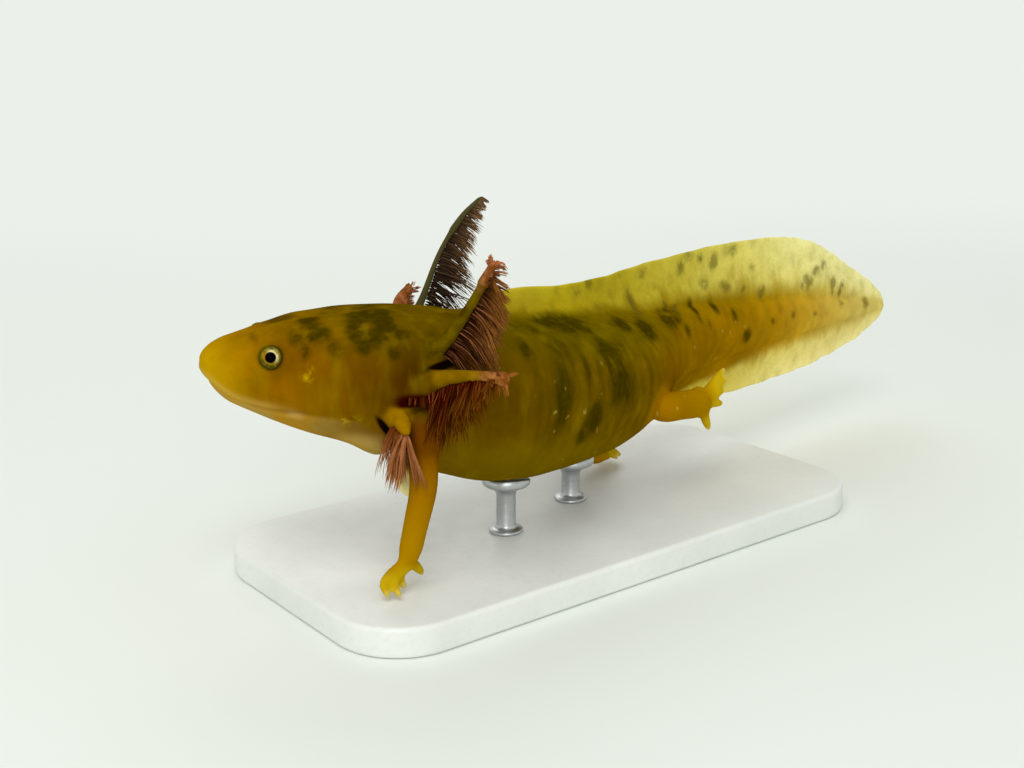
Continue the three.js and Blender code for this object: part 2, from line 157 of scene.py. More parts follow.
floor_material, floor_tree, floor_shader = new_surface("floor_paint", Roughness=0.9)
floor_shader.inputs["Base Color"].default_value = paint(*ROOM_PAINT)
spot = add(floor_tree, "TexCoord")
reach = add(floor_tree, "VectorMath", {0: spot.outputs["Object"]}, operation="LENGTH")
fade = add(floor_tree, "MapRange", {
    "Value": reach.outputs["Value"], "From Min": FLOOR_FADE[0], "From Max": FLOOR_FADE[1],
}, interpolation_type="SMOOTHSTEP")
glow = add(floor_tree, "Emission", {"Color": paint(*ROOM_PAINT), "Strength": 1})
blend = add(floor_tree, "MixShader", {0: fade.outputs[0], 1: floor_shader.outputs[0], 2: glow.outputs[0]})
floor_tree.links.new(blend.outputs[0], floor_tree.nodes["Material Output"].inputs["Surface"])
bm = bmesh.new()
bmesh.ops.create_grid(bm, x_segments=1, y_segments=1, size=FLOOR_HALF)
floor_mesh = bpy.data.meshes.new("floor")
bm.to_mesh(floor_mesh)
bm.free()
floor_mesh.materials.append(floor_material)
floor = bpy.data.objects.new("floor", floor_mesh)
scene.collection.objects.link(floor)
floor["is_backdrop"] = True

# ---------------------------------------------------------------------------------------------------------
# The skin. One smooth moist hide over head, trunk, limbs, tail and its fins, cast in one piece in rubber:
# the body is a sheet wrapped round the midline, and limbs and gill stalks grow out of it without a seam.
# ---------------------------------------------------------------------------------------------------------
LENGTH = 222  # along the midline, from snout to tail tip
EYE, MOUTH_CORNER, BELLY = 11.9, 19, 80  # their stations, which is how far along the midline they are
BELLY_HEIGHT = 35  # the midline's height over the floor there
EYE_RISE, EYE_SET, EYE_RADIUS = 3.15, 1.35, 2.1  # up from the midline, in from the flank, and the ball's own
NOSE, TAIL_END = 5.5, 3  # how far back the snout is rounded, and how far before its end the tail is
HALF = 84  # steps down one side of a section
STRETCHES = ((0, 24, 0.3), (24, 56, 0.5), (56, 113, 0.66), (113, LENGTH, 0.76))  # stations and ring spacing
LIMB_VOXEL, LIMB_MELT = 0.33, 7  # the grid on which a limb is fused, and the rounds that smooth it after


def profile(*rows):
    """A smooth curve through (station, value) pairs, level beyond both ends."""
    at, value = np.array(rows, float).T
    ahead = np.append(np.arange(1, len(at)), len(at) - 1)
    behind = np.append(0, np.arange(len(at) - 1))
    slope = (value[ahead] - value[behind]) / (at[ahead] - at[behind])

    def curve(s):
        """The curve's value at a station, or at each of several."""
        s = np.clip(s, at[0], at[-1])
        i = np.clip(np.searchsorted(at, s, "right") - 1, 0, len(at) - 2)
        span = at[i + 1] - at[i]
        t = (s - at[i]) / span
        start = (1 + 2 * t) * (1 - t) ** 2 * value[i] + t * (1 - t) ** 2 * span * slope[i]
        return start + t * t * (3 - 2 * t) * value[i + 1] - t * t * (1 - t) * span * slope[i + 1]

    return curve


def ease(low, high, x):
    """0 below low, 1 above high and a smooth step between."""
    t = np.clip((x - low) / (high - low), 0, 1)
    return t * t * (3 - 2 * t)


def hump(x, width):
    """A smooth bump, 1 at nought and nearly 0 beyond twice its width."""
    return np.exp(-((x / width) ** 2))


def arch(x):
    """1 at nought and before it, falling in a quarter circle to 0 at 1."""
    return np.sqrt(np.clip(1 - np.clip(x, 0, 1) ** 2, 0, 1))


def unit(ways):
    """A way, or each row of several, brought to a length of 1."""
    return ways / np.linalg.norm(ways, axis=-1, keepdims=True)


def run_along(line):
    """How far along a line each of its places is."""
    return np.append(0, np.cumsum(np.linalg.norm(np.diff(line, axis=0), axis=1)))


yaw = profile((0, -19), (40, -25), (62, 12), (109, 13), (150, 8), (LENGTH, 4))
pitch = profile((0, -3), (40, -10), (62, -13), (109, 0), (150, -3), (LENGTH, -5))
roll = profile((0, -0.5), (40, -0.5), (80, 0))
half_width = profile(
    (0, 7.4), (5, 9.7), (12.5, 11.7), (20, 14.9), (28, 17.3), (34, 17.6), (40, 14.8), (48, 13.6), (60, 15.8),
    (80, 17.5), (96, 17), (109, 12.2), (119, 8.8), (140, 5.6), (170, 3.6), (200, 2), (LENGTH, 0.8))
above = profile(
    (0, 3.3), (4, 3.9), (8, 5.3), (12.5, 7.1), (20, 9.2), (28, 10.9), (40, 12.7), (48, 12.8), (60, 12.6),
    (80, 13.4), (96, 13.2), (109, 11), (119, 10), (140, 8.3), (170, 6.4), (200, 3.8), (LENGTH, 0.9))
below = profile(
    (0, 4), (5, 6.8), (12.5, 10.1), (20, 12.2), (28, 13.6), (34, 15.5), (40, 15.4), (48, 19), (60, 20.3),
    (80, 18.8), (96, 16.9), (109, 12.9), (119, 10), (140, 8), (170, 5.8), (200, 3.2), (LENGTH, 0.9))
squareness = profile((0, 2.3), (20, 2.5), (34, 2.4), (48, 2.1), (119, 2))
mouth = profile((0, -2.2), (6, -5.6), (13, -6.8), (MOUTH_CORNER, -6.4))
back_fin = profile(
    (44, 13.6), (60, 18.4), (80, 19.6), (100, 20.6), (119, 21), (140, 21.4), (165, 21.8), (183, 19.8),
    (200, 13.4), (212, 8), (LENGTH, 2.4))
tail_fin = profile(
    (112, 12.6), (122, 13), (135, 14.8), (147, 16.4), (158, 16.2), (172, 15.6), (190, 13.2), (207, 9.4),
    (LENGTH, 2.4))


def heading(s):
    """Which way the midline runs at a station, snout to tail."""
    turn, rise = np.radians(yaw(s)), np.radians(pitch(s))
    return np.stack([np.cos(rise) * np.cos(turn), np.cos(rise) * np.sin(turn), np.sin(rise)], -1)


STEP = 0.5
MARGIN = 4
track_at = np.arange(-MARGIN, LENGTH + MARGIN + STEP / 2, STEP)
track = np.vstack([np.zeros(3), np.cumsum(heading(track_at[:-1] + STEP / 2) * STEP, 0)])
track += (0, 0, BELLY_HEIGHT) - track[track_at == BELLY][0]


def point(s, rear, left, up):
    """Places given from the midline: stations, then how far to the rear, to the animal's left and up."""
    s, rear, left, up = np.broadcast_arrays(s, rear, left, up)
    place = np.stack([np.interp(s, track_at, track[:, axis]) for axis in range(3)], -1)
    along = heading(s)
    level = unit(np.stack([along[..., 1], -along[..., 0], np.zeros(s.shape)], -1))
    rise = np.cross(level, along)
    turn = np.radians(roll(s))[..., None]
    leftward = level * np.cos(turn) - rise * np.sin(turn)
    upward = rise * np.cos(turn) + level * np.sin(turn)
    return place + along * rear[..., None] + leftward * left[..., None] + upward * up[..., None]


def half_section(s):
    """Half the skin's outline at a station, as (side, up) from the crest of the back down to the keel."""
    rounding = arch(1 - s / NOSE)
    end = arch((s - LENGTH + TAIL_END) / TAIL_END)
    width, top, bottom = (reach(s) * rounding * end for reach in (half_width, above, below))
    ragged = 0.22 * math.sin(s * 1.9) * math.sin(s * 0.83 + 1) * ease(150, 200, s)
    crest = max(back_fin(s) + ragged - above(s), 0) * ease(39, 56, s) * end
    keel = max(tail_fin(s) - ragged - below(s), 0) * ease(109, 122, s) * end
    power = squareness(s)

    def blade(height, depth):
        """From the edge of a fin down to its foot. depth is the body's own reach on that side."""
        q = np.linspace(1, 0, 60)
        thick = 0.3 + 0.8 * (1 - q) ** 1.5 + 3.0 * (1 - q) ** 6
        thick = np.minimum(thick, 0.3 + 0.25 * width) * min(1, width / 1.2)
        tip = 0.45 / max(height, 0.45)
        side = thick * arch((q - 1 + tip) / tip)
        up = depth * np.clip(1 - (side / max(width, 1e-6)) ** power, 0, 1) ** (1 / power) + q * height
        return side, up

    upper_side, upper_up = blade(crest, top)
    lower_side, lower_up = blade(keel, bottom)
    foot_up = math.acos(min((upper_side[-1] / max(width, 1e-6)) ** (power / 2), 1))
    foot_down = math.acos(min((lower_side[-1] / max(width, 1e-6)) ** (power / 2), 1))
    turn = np.linspace(foot_up, -foot_down, 240)[1:-1]
    flank_side = width * np.cos(turn) ** (2 / power)
    flank_up = np.where(turn > 0, top, bottom) * np.sign(turn) * np.abs(np.sin(turn)) ** (2 / power)
    side = np.concatenate([upper_side, flank_side, lower_side[::-1]])
    up = np.concatenate([upper_up, flank_up, -lower_up[::-1]])
    closer = 1 + 1.6 * hump(up - mouth(s), 1.1) * (1 - ease(19, 24, s))
    closer = closer + 1.2 * hump(up - EYE_RISE, 2.6) * hump(s - EYE, 5) * (side > 0.3 * width)
    closer = closer + 1.5 * hump(up - crest - top, 0.9) * ease(42, 60, s)
    closer = closer + 1.5 * hump(up + keel + bottom, 0.9) * ease(122, 135, s)
    gap = np.hypot(np.diff(side), np.diff(up)) * (closer[1:] + closer[:-1]) / 2
    run = np.append(0, np.cumsum(gap)) + np.arange(len(side)) * 1e-9
    even = np.linspace(0, run[-1], HALF + 1)
    return np.interp(even, run, side), np.interp(even, run, up)


stations = np.concatenate([
    np.linspace(start, stop, round((stop - start) / spacing), endpoint=False)
    for start, stop, spacing in STRETCHES] + [[LENGTH]])
halves = [half_section(s) for s in stations]
side = np.array([np.concatenate([half[0], -half[0][-2::-1]]) for half in halves])
up = np.array([np.concatenate([half[1], half[1][-2::-1]]) for half in halves])
station = np.broadcast_to(stations[:, None], side.shape)

# The fins sway a little from side to side towards their edges.
finned = np.where(up > 0, up - above(station), -up - below(station))
sway = ease(0, 8, finned) * ease(50, 90, station)
side = side + sway * (0.35 * np.sin(station * 0.21) + 0.2 * np.sin(station * 0.53 + up * 0.3))
places = point(station, 0, side, up)

# Outward directions on the sheet, from its neighbours along and round it.
wrapped = places[:, :-1]
round_it = np.roll(wrapped, -1, 1) - np.roll(wrapped, 1, 1)
round_it = np.concatenate([round_it, round_it[:, :1]], 1)
along_it = np.gradient(places, axis=0)
outward = np.cross(along_it, round_it)
outward /= np.maximum(np.linalg.norm(outward, axis=-1, keepdims=True), 1e-9)
flip = np.sign(np.sum(outward[40, HALF // 2] * (places[40, HALF // 2] - point(stations[40], 0, 0, 0))))
outward *= flip

# Mouth: a fine groove under a fuller upper lip, ending in a small fold at the corner.
off_lip = up - mouth(station)
open_to = 1 - ease(MOUTH_CORNER - 1, MOUTH_CORNER + 1.6, station)
rise = -0.42 * hump(off_lip, 0.3) * open_to
rise += 0.22 * hump(off_lip - 1.0, 0.8) * open_to
rise += 0.16 * hump(off_lip + 1.0, 0.8) * open_to
rise += 0.35 * hump(station - MOUTH_CORNER - 1.6, 1.6) * hump(off_lip + 0.4, 1.7)

# Cheeks, the two muscle pads behind the eyes, the shallow trough between them and the temples.
sideways = abs(side) / np.maximum(half_width(station), 1)
rise += 0.5 * hump(station - 26, 6) * hump(up - 6, 4) * ease(0.15, 0.6, sideways)
rise -= 0.35 * hump(station - 24, 9) * hump(side, 2.2) * (up > 0)
rise -= 0.3 * hump(station - 15, 4) * hump(up - 0.5, 2.2) * (sideways > 0.5)
rise += 0.3 * hump(station - 17, 3) * hump(abs(side) - 6.5, 2.6) * (up > 0)

# Gular fold: the gill cover's free edge, which hangs over a groove and meets its fellow under the throat.
fold = 38.5 - 3.0 * ease(-4, -15, up)
past = station - fold
hung = ease(-1.5, -5.5, up)
rise += hung * (0.75 * np.exp(np.minimum(past, 0) / 2.6) * (1 - ease(-0.4, 0.5, past)))
rise -= hung * (1.15 * hump(past - 1.1, 1.1))

# Gill slits: a cavity under the middle stalk's arch and a cleft over it.
rise -= 1.3 * hump(station - 39, 3.4) * hump(up + 2.2, 1.3) * (sideways > 0.5)
rise -= 1.2 * hump(station - 41.9, 2.8) * hump(up - 4.5 - 0.42 * (station - 41.9), 0.9) * (sideways > 0.5)

# Costal grooves on the flanks, and slack folds at the shoulder and the hip.
COSTAL_FIRST, COSTAL_LAST, COSTAL_PITCH = 53, 104, 3.7
phase = (station - COSTAL_FIRST + 0.12 * up) / COSTAL_PITCH
groove = 0.5 + 0.5 * np.cos(2 * math.pi * phase)
flank = ease(-16, -9, up) * (1 - ease(7, 11, up)) * ease(COSTAL_FIRST - 3, COSTAL_FIRST + 3, station)
uneven = 0.7 + 0.3 * np.sin(up * 0.55 + station * 0.31) * np.sin(station * 0.77)
fading = 1 - ease(84, COSTAL_LAST + 3, station)
rise -= 0.09 * groove ** 3 * flank * uneven * fading
rise += 0.12 * np.sin(station * 0.9 + up * 0.5) * hump(station - 46, 6) * (up < 8)
pucker = 0.08 * np.sin(station * 0.37 + side * 0.31) * np.sin(up * 0.43 - station * 0.23)
rise += pucker * ease(20, 60, station) * (1 - ease(0.5, 2, finned))

# Myomeres: the tail's muscle blocks show as faint slanted bars.
slant = station + 0.5 * abs(up)
muscle = ease(110, 125, station) * (1 - ease(195, 215, station)) * (1 - ease(-1, 1.0, finned))
rise -= 0.03 * (0.5 + 0.5 * np.cos(2 * math.pi * slant / 4.3)) ** 3 * muscle

# Vent: a low swelling under the root of the tail, between the hind legs.
rise += 1.5 * hump(station - 113, 7) * ease(-3, -9, up) * hump(side, 5)
places = places + outward * rise[..., None]

# Eye sockets: a low mound round each eye, and the skin dives under the ball at its rim.
eyes = {}
for name, sign in (("left", 1), ("right", -1)):
    centre = point(EYE, 0, sign * (half_width(EYE) - EYE_SET), EYE_RISE)
    axis = unit(point(EYE, -0.18, sign * (half_width(EYE) - EYE_SET + 1), EYE_RISE + 0.28) - centre)
    eyes[name] = (centre, axis)
    away = places - centre
    depth = away @ axis
    beside = np.linalg.norm(away - depth[..., None] * axis, axis=-1)
    round_eye = (depth > -2.5) * (beside < 7)
    shift = round_eye * (0.3 * hump(beside - 2.9, 0.9) - 1.5 * (1 - ease(1.5, 2.4, beside)))
    places = places + shift[..., None] * axis

# Nostrils: two small pits on the front of the snout.
for sign in (1, -1):
    nostril = places[(abs(station - 1.6) < 0.5) & (abs(side - sign * 4.1) < 0.5) & (up > 0)]
    centre = nostril.mean(0)
    beside = np.linalg.norm(places - centre, axis=-1)
    places = places - outward * (0.5 * hump(beside, 0.42))[..., None]

# Mounds where the limbs leave the body.
MOUNDS = ((42.5, 1, 12, -8), (45, -1, 11, -9.5), (105, 1, 10, -7), (105, -1, 10, -7))
for at, sign, out, height in MOUNDS:
    centre = point(at, 0, sign * out, height)
    beside = np.linalg.norm(places - centre, axis=-1)
    places = places + outward * (0.7 * hump(beside, 5.5))[..., None]

rows, columns = side.shape[0] - 1, side.shape[1] - 1
bm = bmesh.new()
bmesh.ops.create_grid(bm, x_segments=columns, y_segments=rows, size=0.5)
for vert in bm.verts:
    column, row = round((vert.co.x + 0.5) * columns), round((vert.co.y + 0.5) * rows)
    vert.co = places[row, column] * MM
bmesh.ops.remove_doubles(bm, verts=bm.verts, dist=1e-6)
bmesh.ops.recalc_face_normals(bm, faces=bm.faces)
body_mesh = bpy.data.meshes.new("skin")
bm.to_mesh(body_mesh)
bm.free()
skin = bpy.data.objects.new("skin", body_mesh)
scene.collection.objects.link(skin)


def swept(bm, centres, wide, high, flat, sides):
    """Adds a closed tube along centres. A ring is wide across and high along flat, and 0 closes an end."""
    centres = np.asarray(centres, float)
    along = np.gradient(centres, axis=0)
    across = unit(np.cross(along, np.broadcast_to(flat, along.shape)))
    thick = unit(np.cross(across, along))
    last = len(centres) - 1
    made = bmesh.ops.create_grid(bm, x_segments=sides, y_segments=last, size=0.5)["verts"]
    for vert in made:
        ring = round((vert.co.y + 0.5) * last)
        turn = 2 * math.pi * (round((vert.co.x + 0.5) * sides) % sides) / sides
        aside = across[ring] * wide[ring] * math.cos(turn)
        vert.co = (centres[ring] + aside + thick[ring] * high[ring] * math.sin(turn)) * MM
    bmesh.ops.remove_doubles(bm, verts=made, dist=1e-8)


def bent(points, count):
    """A smooth line of count places through points."""
    points = np.array(points, float)
    run = run_along(points)
    even = np.linspace(0, run[-1], count)
    return np.stack([profile(*zip(run, points[:, axis]))(even) for axis in range(3)], -1)


def bone(bm, points, girth, flat, flatness=1.0, sides=16, rings=26):
    """A closed tube through points with round ends past them. girth is its radii, evenly spaced."""
    points = np.array(points, float)
    for end, next_in, size in ((0, 1, girth[0]), (-1, -2, girth[-1])):
        points[end] = points[end] + unit(points[end] - points[next_in]) * size * 0.98
    centres = bent(points, rings)
    run = run_along(centres)
    radius = profile(*zip(np.linspace(0, run[-1], len(girth)), girth))(run)
    radius = radius * arch(1 - run / girth[0]) * arch(1 - (run[-1] - run) / girth[-1])
    swept(bm, centres, radius, radius * flatness, flat, sides)


def object_of(bm, name, material=None):
    """An object in the frame's place from a finished bmesh, with its faces shaded smooth."""
    mesh = bpy.data.meshes.new(name)
    for face in bm.faces:
        face.smooth = True
    bm.to_mesh(mesh)
    bm.free()
    if material:
        mesh.materials.append(material)
    made = bpy.data.objects.new(name, mesh)
    scene.collection.objects.link(made)
    return made


def finished(piece, kind, **settings):
    """The piece's mesh after one modifier, put in place of its own."""
    modifier = piece.modifiers.new(kind, kind)
    for name, value in settings.items():
        setattr(modifier, name, value)
    depsgraph = bpy.context.evaluated_depsgraph_get()
    mesh = bpy.data.meshes.new_from_object(piece.evaluated_get(depsgraph))
    piece.modifiers.clear()
    piece.data = mesh


def towards(first, second, share):
    """The place a share of the way from the first to the second."""
    return np.array(first) * (1 - share) + np.array(second) * share


def smoothed(bm, verts, rounds):
    """Melts a mesh's vertices into their neighbours, a round at a time."""
    for _ in range(rounds):
        bmesh.ops.smooth_vert(bm, verts=verts, factor=0.5, use_axis_x=True, use_axis_y=True, use_axis_z=True)


FRONT_GIRTH = (3.3, 3.25, 2.9, 2.65, 2.45, 2.3, 2.1, 1.0)
HIND_GIRTH = (5.0, 4.7, 4.0, 3.4, 3.25, 3.2, 3.1, 1.2)
FLOOR = 6.75
# Each limb: its root as (station, left, up), its elbow or knee, wrist or ankle and palm, the way out of the
# back of the hand, the radii from the root to the palm, the palm's half width, where its root is on the
# sleeve's scale of colours, and each digit's knuckle, if set, and tip.
LIMBS = {
    "front_left": dict(
        root=(40.7, 14.2, -6.3), knee=(-47.3, -18.9, 25.9), ankle=(-49.5, -17.4, 14),
        palm=(-50, -16.6, 10.6), back=(0.3, -0.72, 0.62), girth=FRONT_GIRTH, spread=2.5, sleeve=0,
        digits=(
            ((-55.5, -17.7, 9.4), (-55.5, -19.3, FLOOR)), ((-53.4, -17.8, 9.2), (-53.6, -20.3, FLOOR)),
            ((-51.4, -16.6, 9.4), (-50.8, -17.6, FLOOR)), ((-47.5, -16.1, 10.2), (-45.1, -15.2, 7.5)))),
    "front_right": dict(
        root=(45, -8, -9), knee=(-27.7, 20.1, 27), ankle=(-29.3, 14.6, 19),
        palm=(-31.6, 12.4, 15.7), back=(-0.45, -0.55, 0.7), girth=FRONT_GIRTH, spread=2.5, sleeve=0,
        digits=(
            (None, (-33.0, 9.8, 13.6)), (None, (-32.0, 9.4, 12.6)), (None, (-30.3, 10.2, 12.2)),
            (None, (-28.8, 11.2, 13.2)))),
    "hind_left": dict(
        root=(105, 6, -6.5), knee=(20.2, -11.9, 27.4), ankle=(30.8, -9.9, 25.8),
        palm=(36, -8.9, 25.3), back=(-0.62, -0.72, 0.3), girth=HIND_GIRTH, spread=3.9, sleeve=0.3,
        digits=(
            (None, (36.6, -9.8, 18.4)), (None, (41, -9.6, 24)), (None, (41.6, -9.4, 27.2)),
            (None, (43.2, -8.5, 29.4)), (None, (44.2, -6.8, 31.2)))),
    "hind_right": dict(
        root=(105, -6, -6.5), knee=(22, 24.5, 21), ankle=(22.4, 13.8, 10.4),
        palm=(26.2, 13.6, 9.2), back=(0.05, -0.1, 1), girth=HIND_GIRTH, spread=3.7, sleeve=0.3,
        digits=(
            (None, (30, 18.6, 7.6)), (None, (31.4, 17, 7.6)), (None, (32, 15, 7.6)),
            (None, (31.2, 13, 7.6)), (None, (29, 11.6, 7.6)))),
}
PALM_THICK = 1.3
DIGIT_GIRTH = (1.5, 1.3, 1.15, 0.95, 0.5)
WEB_GIRTH = (1.6, 1.2, 0.7)
HAND_RINGS = 20
LIMB_STEPS = 24  # places kept along each half of a limb's middle
limb_lines, roots, grown = [], [], []
for name, limb in LIMBS.items():
    at, left, height = limb["root"]
    root = point(at, 0, left, height)
    knee, ankle, palm = (np.array(limb[joint]) for joint in ("knee", "ankle", "palm"))
    normal, girth, spread = unit(limb["back"]), limb["girth"], limb["spread"]
    sideways = np.cross(knee - root, ankle - knee)
    bm = bmesh.new()
    bone(bm, (root, towards(root, knee, 0.6), towards(knee, towards(root, ankle, 0.5), 0.05),
              towards(knee, ankle, 0.55), ankle, palm), girth, sideways, 1.0, 18, 48)
    wrist = towards(ankle, palm, -0.5)
    heel = towards(ankle, palm, 1.25)
    hand = bent((wrist, towards(ankle, palm, 0.4), heel), HAND_RINGS)
    reach = np.linspace(0, 1, HAND_RINGS)
    closing = arch((reach - 0.62) / 0.38) * np.sqrt(np.minimum(reach * 8, 1))
    slim = girth[-2] * 0.88
    wide = (slim + (spread - slim) * ease(0.1, 0.7, reach)) * closing
    high = (slim + (PALM_THICK - slim) * ease(0, 0.95, reach)) * closing
    swept(bm, hand, wide, high, normal, 16)
    digits = []
    for knuckle, tip in limb["digits"]:
        start = towards(towards(palm, ankle, 0.45), tip, 0.1)
        middle = towards(start, tip, 0.55) + 0.6 * normal if knuckle is None else np.array(knuckle)
        short_of = tip - unit(tip - middle) * DIGIT_GIRTH[-1]
        bone(bm, (start, middle, short_of), DIGIT_GIRTH, normal, 0.85, 12, 18)
        digits.append((start, middle))
    for (start, middle), (other_start, other_middle) in zip(digits, digits[1:]):
        web_root = towards(start, other_start, 0.5)
        web_edge = towards(middle, other_middle, 0.5) * 0.5 + web_root * 0.5
        bone(bm, (web_root, web_edge), WEB_GIRTH, normal, 0.45, 12, 12)
    limb_lines.append(np.vstack([bent((root, knee), LIMB_STEPS), bent((knee, ankle, palm), LIMB_STEPS)]))
    roots.append(root)
    bmesh.ops.recalc_face_normals(bm, faces=bm.faces)
    flesh = object_of(bm, "limb_" + name)
    finished(flesh, "REMESH", mode="VOXEL", voxel_size=LIMB_VOXEL * MM)
    bm = bmesh.new()
    bm.from_mesh(flesh.data)
    smoothed(bm, bm.verts, LIMB_MELT)
    bm.to_mesh(flesh.data)
    bm.free()
    grown.append(flesh)

# The gills' stalks: the root on the neck as (station, side, out, up), the stalk's course from there to the
# rear, outwards and up, the way its filaments hang, its girth and how much deeper than wide it is.
GILLS = {
    "left_1": dict(
        root=(40.4, 1, 11.8, 6.8), hang=(1, 0.2, -0.35), flatness=1.1,
        course=(
            (-1, -4, -0.5), (0.6, 0.9, 0.6), (2.8, 2.8, 4.7), (4.7, 5.2, 10.4), (6.2, 7.2, 16),
            (7, 8, 19.8)),
        girth=(3.2, 2.5, 2.0, 1.7, 1.4, 1.2, 1.0, 0.45)),
    "left_2": dict(
        root=(41, 1, 13.5, 2.4), hang=(0.06, 0.1, -1), flatness=1.1,
        course=(
            (-5.6, 1.4, -3.2), (-4.2, 2.2, -2.4), (-1.3, 1.5, -0.9), (1.4, 2, 0.7), (3.6, 4.2, 1.8),
            (5.7, 7.2, 3), (8.6, 10.4, 3.9), (10.6, 12.4, 4.1)),
        girth=(1.1, 1.6, 2.2, 2.2, 1.8, 1.45, 1.25, 1.4, 0.9)),
    "left_3": dict(
        root=(35.6, 1, 13.5, -4.6), hang=(0.02, 0.1, -1), flatness=1.05,
        course=((-1, -4, -0.5), (0, 0, 0), (0.3, 4.1, -0.3), (1.4, 8.4, -1.4)),
        girth=(2.8, 2.6, 2.4, 2.2, 2.05, 1.9, 1.6, 1.0)),
    "right_1": dict(
        root=(40.6, -1, 11.5, 8), hang=(1, 0.1, -0.1), flatness=1.1,
        course=(
            (-1, -4, -0.5), (0.2, -0.6, 0.6), (1.6, 0.8, 3.8), (4.3, 3.8, 13.4), (8.1, 6, 20.8),
            (12, 6.8, 25.8)),
        girth=(3.0, 1.6, 1.0, 0.75, 0.65, 0.6, 0.5, 0.3)),
    "right_2": dict(
        root=(41, -1, 13.5, 2), hang=(1, 0.1, -0.4), flatness=1.5,
        course=((-1, -4, -0.5), (-0.9, 6, 4.4), (-0.4, 10.6, 7.4), (0.8, 12, 9.1), (2.4, 12.1, 10.7)),
        girth=(2.4, 2.0, 1.8, 1.8, 2.0, 1.9, 1.3, 0.6)),
    "right_3": dict(
        root=(37, -1, 14, -5), hang=(0.35, 0.1, -1), flatness=1.1,
        course=((-1, -4, -0.5), (0, 0, 0), (1.2, 6, -1.2), (4, 10, -3)),
        girth=(2.8, 2.4, 2.0, 1.8, 1.65, 1.45, 1.2, 0.8)),
}
STALK_RINGS = 44


def by_root(root, rear, outward_by, up_by):
    """A place given from a stalk's root, to the rear, outwards and up."""
    at, sign, out, height = root
    return point(at, rear, sign * (out + outward_by), height + up_by)


stalks = {}
for name, gill in GILLS.items():
    root = gill["root"]
    line = bent([by_root(root, *place) for place in gill["course"]], STALK_RINGS)
    fall = unit(by_root(root, *gill["hang"]) - by_root(root, 0, 0, 0))
    stalks[name] = (line, fall)
    bm = bmesh.new()
    bone(bm, line[::3], gill["girth"], fall, gill["flatness"], 14, STALK_RINGS)
    bmesh.ops.recalc_face_normals(bm, faces=bm.faces)
    grown.append(object_of(bm, f"stalk_{name}"))

for part in grown:
    finished(skin, "BOOLEAN", operation="UNION", solver="MANIFOLD", operand_type="OBJECT", object=part)
for part in grown:
    bpy.data.objects.remove(part)

# Where a limb or a stalk meets the body the crease is melted into a soft fold.
CREASE_ANGLE, CREASE_REACH, CREASE_SPREAD = 0.3, 13, 5  # radians, how far from a root, steps round a crease
CREASE_KEPT = 6.5  # how close to the left front limb's root the crease is melted less and stays sharper
FIRST_MELT, MORE_MELT = 5, 11  # rounds of smoothing, of all the creases and then of those away from there
bm = bmesh.new()
bm.from_mesh(skin.data)
seams = [*roots, *(line[7] for line, _ in stalks.values())]
creases = set()
for edge in bm.edges:
    if len(edge.link_faces) == 2 and edge.calc_face_angle(0) > CREASE_ANGLE:
        middle = (edge.verts[0].co + edge.verts[1].co) / 2 / MM
        if min(np.linalg.norm(np.array(middle) - seam) for seam in seams) < CREASE_REACH:
            creases.update(edge.verts)
patch = set(creases)
for _ in range(CREASE_SPREAD):
    patch.update([edge.other_vert(vert) for vert in patch for edge in vert.link_edges])
bmesh.ops.remove_doubles(bm, verts=list(patch), dist=0.12 * MM)
patch = [vert for vert in patch if vert.is_valid]
soft = [vert for vert in patch if np.linalg.norm(np.array(vert.co) / MM - roots[0]) > CREASE_KEPT]
smoothed(bm, patch, FIRST_MELT)
smoothed(bm, soft, MORE_MELT)
bpy.data.objects.remove(skin)

# Where each part of the skin lies on the animal, kept on its vertices for the paint.
AT_ONCE = 4000  # places looked up in one go, to spare memory
spots = np.array([vert.co for vert in bm.verts]) / MM
nearest = np.empty(len(spots), int)
for start in range(0, len(spots), AT_ONCE):
    gaps = spots[start:start + AT_ONCE, None] - track[None]
    nearest[start:start + AT_ONCE] = np.argmin((gaps * gaps).sum(-1), 1)
s = track_at[nearest]
s = s + np.sum((spots - track[nearest]) * heading(s), 1)
across, over = ((spots - point(s, 0, 0, 0)) * (point(s, 0, left, 1 - left) - point(s, 0, 0, 0))
                for left in (1, 0))
across, over = across.sum(-1), over.sum(-1)


def near(lines, reach, full=0.55):
    """1 on the lines and 0 beyond reach of them. full is the share of the reach over which it stays 1."""
    line = np.vstack(lines)
    away = np.min([np.linalg.norm(spots - place, axis=1) for place in line], 0)
    return 1 - ease(reach * full, reach, away)


def marked(at, height, half_length, half_height, depth=1.0, lean=0.0, tilt=0.0, flank=0):
    """A soft oval mark, depth in its middle. flank is 1 for the left side only and -1 for the right."""
    x = (s - at - lean * (over - height)) / half_length
    y = (over - height - tilt * (s - at)) / half_height
    return np.exp(-((x * x + y * y) ** 1.2)) * depth * (ease(-1, 1.5, across * flank) if flank else 1)


limb_share = near([line[8:] for line in limb_lines], 6.5)
digit_tips = [[tip for _, tip in limb["digits"]] for limb in LIMBS.values()]
hand_share = near(digit_tips, 6)
limb_share = np.maximum(limb_share, hand_share)
stalk_share = near([line[9:] for name, (line, _) in stalks.items() if name != "left_2"], 3.6)
stalk_share = np.maximum(stalk_share, near([stalks["left_2"][0][18:]], 3.6))
golden_share = near([stalks["left_3"][0][14:], stalks["right_3"][0][14:]], 6, 0.2)
golden_share = np.maximum(golden_share, 0.6 * near([stalks["left_2"][0][16:]], 5))
dusky_share = near([stalks["right_1"][0][6:]], 4.2)
flush_share = near([stalks[name][0][42:] for name in ("left_1", "left_2")], 7.5, 0.2)
flush_share = np.maximum(flush_share, near([stalks["right_2"][0][26:]], 5, 0.3))
fin_top = np.where(over > 0, above(s) - 0.6, below(s) - 0.6 + 3.2 * (1 - ease(128, 172, s)))
